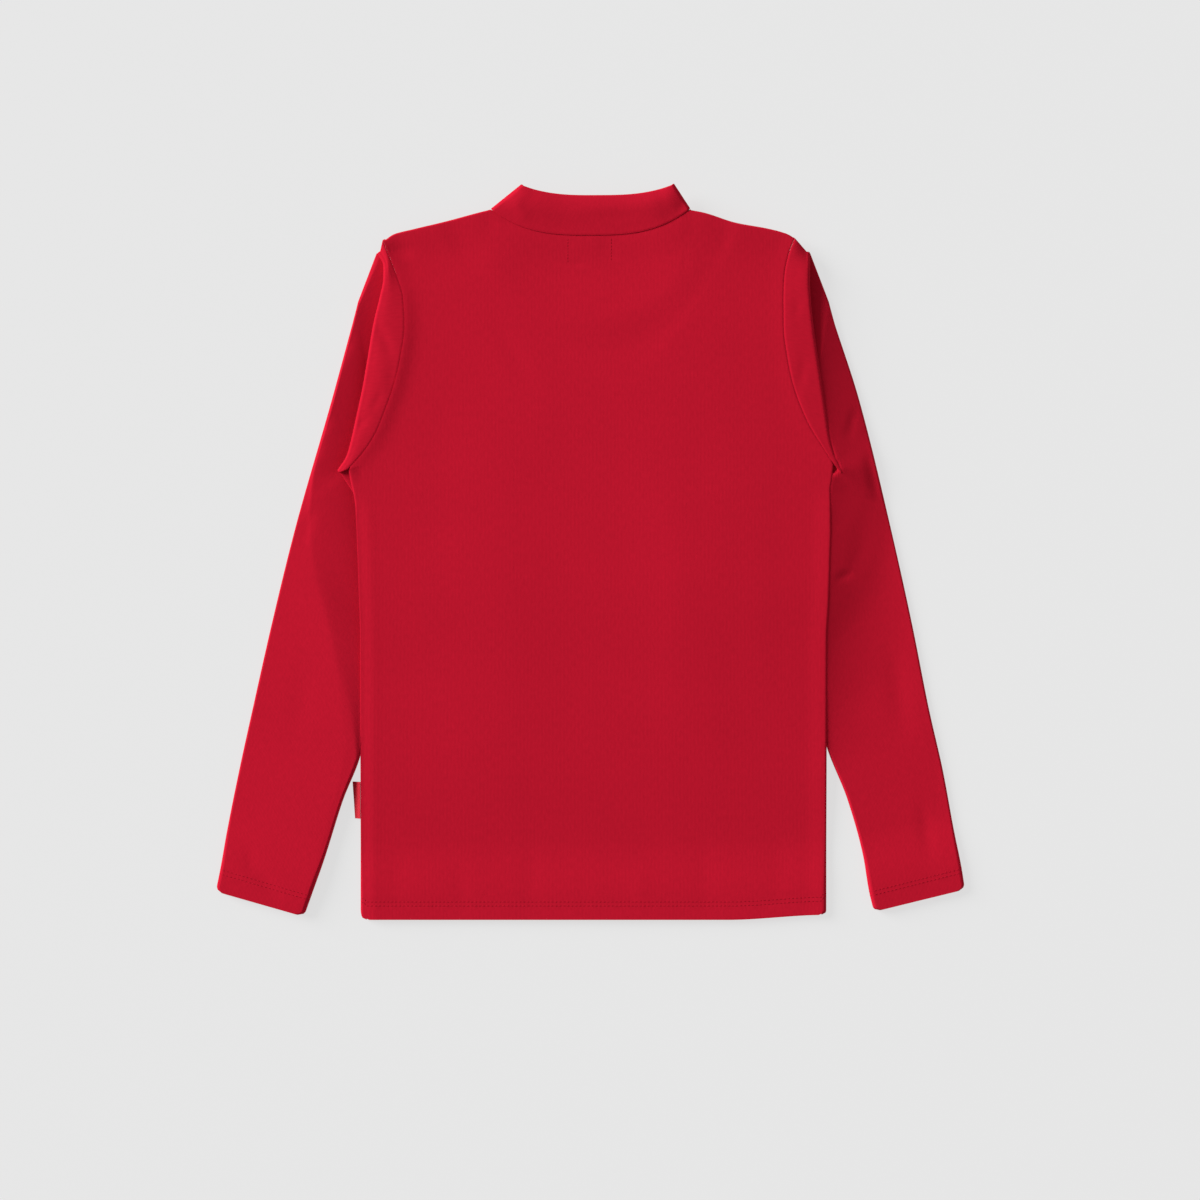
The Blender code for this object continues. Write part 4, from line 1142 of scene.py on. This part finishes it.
def tack_lines(back_outer):
    """The two short rows of stitches below the collar, on the back's surface.

    The surface's height is the mean of its nearest points, weighted by 1 / (distance^2 + TINY).
    """
    points = back_outer.reshape(-1, 3)
    lines = []
    for row in TACKS:
        y = np.linspace(row.top, row.foot, TACK_POINTS)
        plan = np.stack((np.full(TACK_POINTS, row.x), y), 1)
        far = ((plan[:, None] - points[:, :2])**2).sum(-1)
        near = np.argsort(far, axis=1)[:, :TACK_NEAREST]
        weight = 1 / (np.take_along_axis(far, near, 1) + TINY)
        z = (points[near, 2] * weight).sum(1) / weight.sum(1)
        lines.append((np.column_stack((plan, z)), np.broadcast_to(UP, (TACK_POINTS, 3))))
    return lines


def surface_rows(piece_outer, stations, sign):
    """The outer surface's rows of points where a hem or cuff is sewn, each with its outward side.

    The sign says which way the surface's two directions, along a row and up the cloth, turn.
    """
    rows = []
    for distance in HEM_STITCHES:
        i = int(np.argmin(np.abs(stations - distance)))
        line = piece_outer[i]
        line = line + UP * np.where(line[:, 2:] < CLOTH, STITCH_BURIED, 0.0)
        facing = unit(np.cross(np.gradient(line, axis=0), piece_outer[i + 1] - piece_outer[i - 1]))
        rows.append((line, facing * sign))
    return rows


# Materials

def linear(hex_colour):
    """An sRGB hex colour as linear red, green, blue and alpha."""
    srgb = np.array([int(hex_colour[i:i + 2], 16) for i in (1, 3, 5)]) / 255
    low = srgb / 12.92
    high = ((srgb + 0.055) / 1.055) ** 2.4
    return (*np.where(srgb <= 0.04045, low, high).tolist(), 1.0)


def set_inputs(tree, node, inputs):
    """Give each named input of a node its value, or link a socket to it."""
    for name, value in inputs.items():
        if isinstance(value, bpy.types.NodeSocket):
            tree.links.new(value, node.inputs[name])
        else:
            node.inputs[name].default_value = value


def add_node(tree, kind, inputs=None, **settings):
    """Add a node with its settings and inputs."""
    node = tree.nodes.new(kind)
    for name, value in settings.items():
        setattr(node, name, value)
    set_inputs(tree, node, inputs or {})
    return node


def math_node(tree, operation, *values):
    """The result of a math node."""
    return add_node(tree, "ShaderNodeMath", dict(enumerate(values)), operation=operation).outputs[0]


def cloth_node(tree):
    """The cloth's own coordinates."""
    return add_node(tree, "ShaderNodeUVMap", uv_map="cloth").outputs["UV"]


def toned(tree, hex_colour, value):
    """A colour whose brightness is scaled by a node's result."""
    inputs = {"Color": linear(hex_colour), "Value": value}
    return add_node(tree, "ShaderNodeHueSaturation", inputs).outputs["Color"]


def bumped(tree, height, strength, distance):
    """A normal from a height, with the bump's distance in millimetres."""
    inputs = {"Height": height, "Strength": strength, "Distance": distance * MM}
    return add_node(tree, "ShaderNodeBump", inputs).outputs["Normal"]


def new_material(name):
    """An empty material and its nodes."""
    material = bpy.data.materials.new(name)
    material.use_nodes = True
    return material, material.node_tree


def set_shader(tree, inputs):
    """Set the inputs of a material's shader."""
    set_inputs(tree, tree.nodes["Principled BSDF"], inputs)


def knit_height(tree):
    """Height of knit stitches over the cloth's own coordinates, from 0 to 1.45.

    Across, each wale is an arch between two grooves. Along it, the yarn's legs slant up from
    the wale's middle to its grooves, so that each course is a row of shallow Vs.
    """
    axes = add_node(tree, "ShaderNodeSeparateXYZ", {0: cloth_node(tree)})
    across = math_node(tree, "MULTIPLY", axes.outputs["X"], 1 / (WALE * MM))
    along = math_node(tree, "MULTIPLY", axes.outputs["Y"], 1 / (COURSE * MM))
    arch = math_node(tree, "PINGPONG", across, 1.0)
    slant = math_node(tree, "MULTIPLY_ADD", arch, 0.9, along)
    leg = math_node(tree, "PINGPONG", slant, 0.5)
    rib = math_node(tree, "SINE", math_node(tree, "MULTIPLY", arch, np.pi))
    return math_node(tree, "MULTIPLY_ADD", leg, 0.9, rib)


def knit_material():
    """Fine cotton double knit, piece-dyed red: matt, faintly fuzzy, with fine upright ribs.

    The fuzz gives a soft light rim where the cloth turns away, the yarn's own unevenness a
    slight mottle drawn out along the wales, and the handling of the cloth a wide faint cloudiness.
    """
    material, tree = new_material("red cotton double knit")
    place = cloth_node(tree)
    drawn = add_node(tree, "ShaderNodeMapping", {"Vector": place, "Scale": (1.0, 0.3, 1.0)})
    yarn = add_node(tree, "ShaderNodeTexNoise", {"Vector": drawn.outputs["Vector"], "Scale": 620.0,
                                                 "Detail": 4.0}).outputs["Fac"]
    cloud = add_node(tree, "ShaderNodeTexNoise", {"Vector": place, "Scale": 22.0, "Detail": 2.0})
    tone = math_node(tree, "MULTIPLY_ADD", yarn, 0.26, 0.87)
    drift = math_node(tree, "MULTIPLY_ADD", cloud.outputs["Fac"], 0.06, 0.97)
    fuzz = math_node(tree, "MULTIPLY_ADD", yarn, 0.8, knit_height(tree))
    set_shader(tree, {
        "Base Color": toned(tree, KNIT_RED, math_node(tree, "MULTIPLY", tone, drift)),
        "Normal": bumped(tree, fuzz, 0.22, 0.12),
        "Roughness": 0.88,
        "Specular IOR Level": 0.02,
        "Sheen Weight": 0.12,
        "Sheen Roughness": 0.5,
        "Sheen Tint": linear(SHEEN_RED),
    })
    return material


def thread_material():
    """Polyester sewing thread, twisted and dyed to match: a little smoother than the knit. Its colour is
    darker than the knit's by painted shade of the stitch rows' dents.
    """
    material, tree = new_material("red polyester thread")
    place = add_node(tree, "ShaderNodeTexCoord").outputs["Object"]
    twist = add_node(tree, "ShaderNodeTexNoise", {"Vector": place, "Scale": 2500.0, "Detail": 1.0})
    tone = math_node(tree, "MULTIPLY_ADD", twist.outputs["Fac"], 0.3, 0.85)
    set_shader(tree, {"Base Color": toned(tree, THREAD_AND_SHADE_RED, tone), "Roughness": 0.6,
                      "Specular IOR Level": 0.05})
    return material


def ribbon_material():
    """Woven satin ribbon: a soft sheen, with fine ribs across it."""
    material, tree = new_material("red woven ribbon")
    ribs = add_node(tree, "ShaderNodeTexWave", {"Vector": cloth_node(tree), "Scale": 400.0,
                                                "Distortion": 0.4}, bands_direction="Y").outputs["Fac"]
    tone = math_node(tree, "MULTIPLY_ADD", ribs, 0.1, 0.95)
    set_shader(tree, {"Base Color": toned(tree, RIBBON_RED, tone), "Normal": bumped(tree, ribs, 0.3, 0.05),
                      "Roughness": 0.55, "Specular IOR Level": 0.1})
    return material


# Studio

PHOTO_WIDE = 0.960      # metres of floor across the photograph
PHOTO_MIDDLE = (0.008, -0.0376)
CAMERA_HEIGHT = 2.4
SENSOR = 36.0
TABLE_HALF = 3000
WHITE = (1.0, 1.0, 1.0, 1.0)
TABLE_GLOW = 0.675
FILL = 0.34             # even light from all round
KEY = 5.4               # soft light from the upper left
KEY_SPREAD = 32.0       # degrees that it spans, as a large diffuser does
KEY_FROM = (-1.5, 0.75, 0.695)


def make_studio():
    """A lit table, a large soft light from the upper left, and a camera straight above.

    The table glows evenly through its white top, which leaves hardly any shadow.
    """
    floor_material, tree = new_material("matt white acrylic light table")
    set_shader(tree, {"Base Color": linear(TABLE_WHITE), "Roughness": 0.9, "Emission Color": WHITE,
                      "Emission Strength": TABLE_GLOW})
    corners = np.array(((-1, -1, 0), (1, -1, 0), (1, 1, 0), (-1, 1, 0)), float) * TABLE_HALF
    floor = make_mesh("studio_floor", corners, np.array(((0, 1, 2, 3),)), floor_material)

    world = bpy.data.worlds.new("studio")
    bpy.context.scene.world = world
    world.use_nodes = True
    set_inputs(world.node_tree, world.node_tree.nodes["Background"], {"Color": WHITE, "Strength": FILL})

    key = bpy.data.lights.new("key", "SUN")
    key.energy = KEY
    key.angle = np.radians(KEY_SPREAD)
    lamp = bpy.data.objects.new("key", key)
    lamp.location = KEY_FROM
    lamp.rotation_euler = Vector(KEY_FROM).to_track_quat("Z", "Y").to_euler()
    bpy.context.scene.collection.objects.link(lamp)
    bpy.context.scene.view_settings.view_transform = "Standard"

    camera = bpy.data.cameras.new("camera")
    camera.sensor_width = SENSOR
    camera.lens = SENSOR * CAMERA_HEIGHT / PHOTO_WIDE
    eye = bpy.data.objects.new("camera", camera)
    eye.location = (*PHOTO_MIDDLE, CAMERA_HEIGHT)
    bpy.context.scene.collection.objects.link(eye)
    bpy.context.scene.camera = eye


# The whole

def build():
    """Make every piece, and say what it is to the frame."""
    knit = knit_material()
    thread = thread_material()
    ribbon = ribbon_material()

    back, back_outer = make_panel("knit_back", BACK_NECK_Y, BACK_BOW, 1, knit)
    front, front_outer = make_panel("knit_front", FRONT_NECK_Y, FRONT_BOW, -1, knit)
    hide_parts("body_back")
    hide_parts("body_front")
    hems = surface_rows(back_outer, HEM_ROWS, 1) + surface_rows(front_outer, HEM_ROWS, -1)
    hem_thread = make_stitches("hem_stitches", hems, HEM_THREAD, thread)
    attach(hem_thread, "root")
    tack_thread = make_stitches("tack_stitches", tack_lines(back_outer), TACK_THREAD, thread)
    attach(tack_thread, "root")

    for side in SIDE_SIGN:
        sleeve, outer = make_sleeve(side, knit)
        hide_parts("sleeve_" + side)
        cuff = surface_rows(outer, SLEEVE_STATIONS, SIDE_SIGN[side])
        cuff_thread = make_stitches("cuff_stitches_" + side, cuff, HEM_THREAD, thread)
        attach(cuff_thread, "root")
        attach(sleeve, "root")

    collar, _ = make_collar(knit)
    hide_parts("collar")
    label, _ = make_label(ribbon)
    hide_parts("side_label")
    for piece in (back, front, collar):
        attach(piece, "root")
    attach(label, "root")


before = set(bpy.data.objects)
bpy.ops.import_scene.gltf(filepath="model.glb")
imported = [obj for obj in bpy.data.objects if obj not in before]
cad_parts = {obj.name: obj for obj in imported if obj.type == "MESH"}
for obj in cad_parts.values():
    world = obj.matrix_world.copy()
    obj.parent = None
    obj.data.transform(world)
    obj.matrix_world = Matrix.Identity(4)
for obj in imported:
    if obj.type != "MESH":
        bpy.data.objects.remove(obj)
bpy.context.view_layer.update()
make_studio()
build()
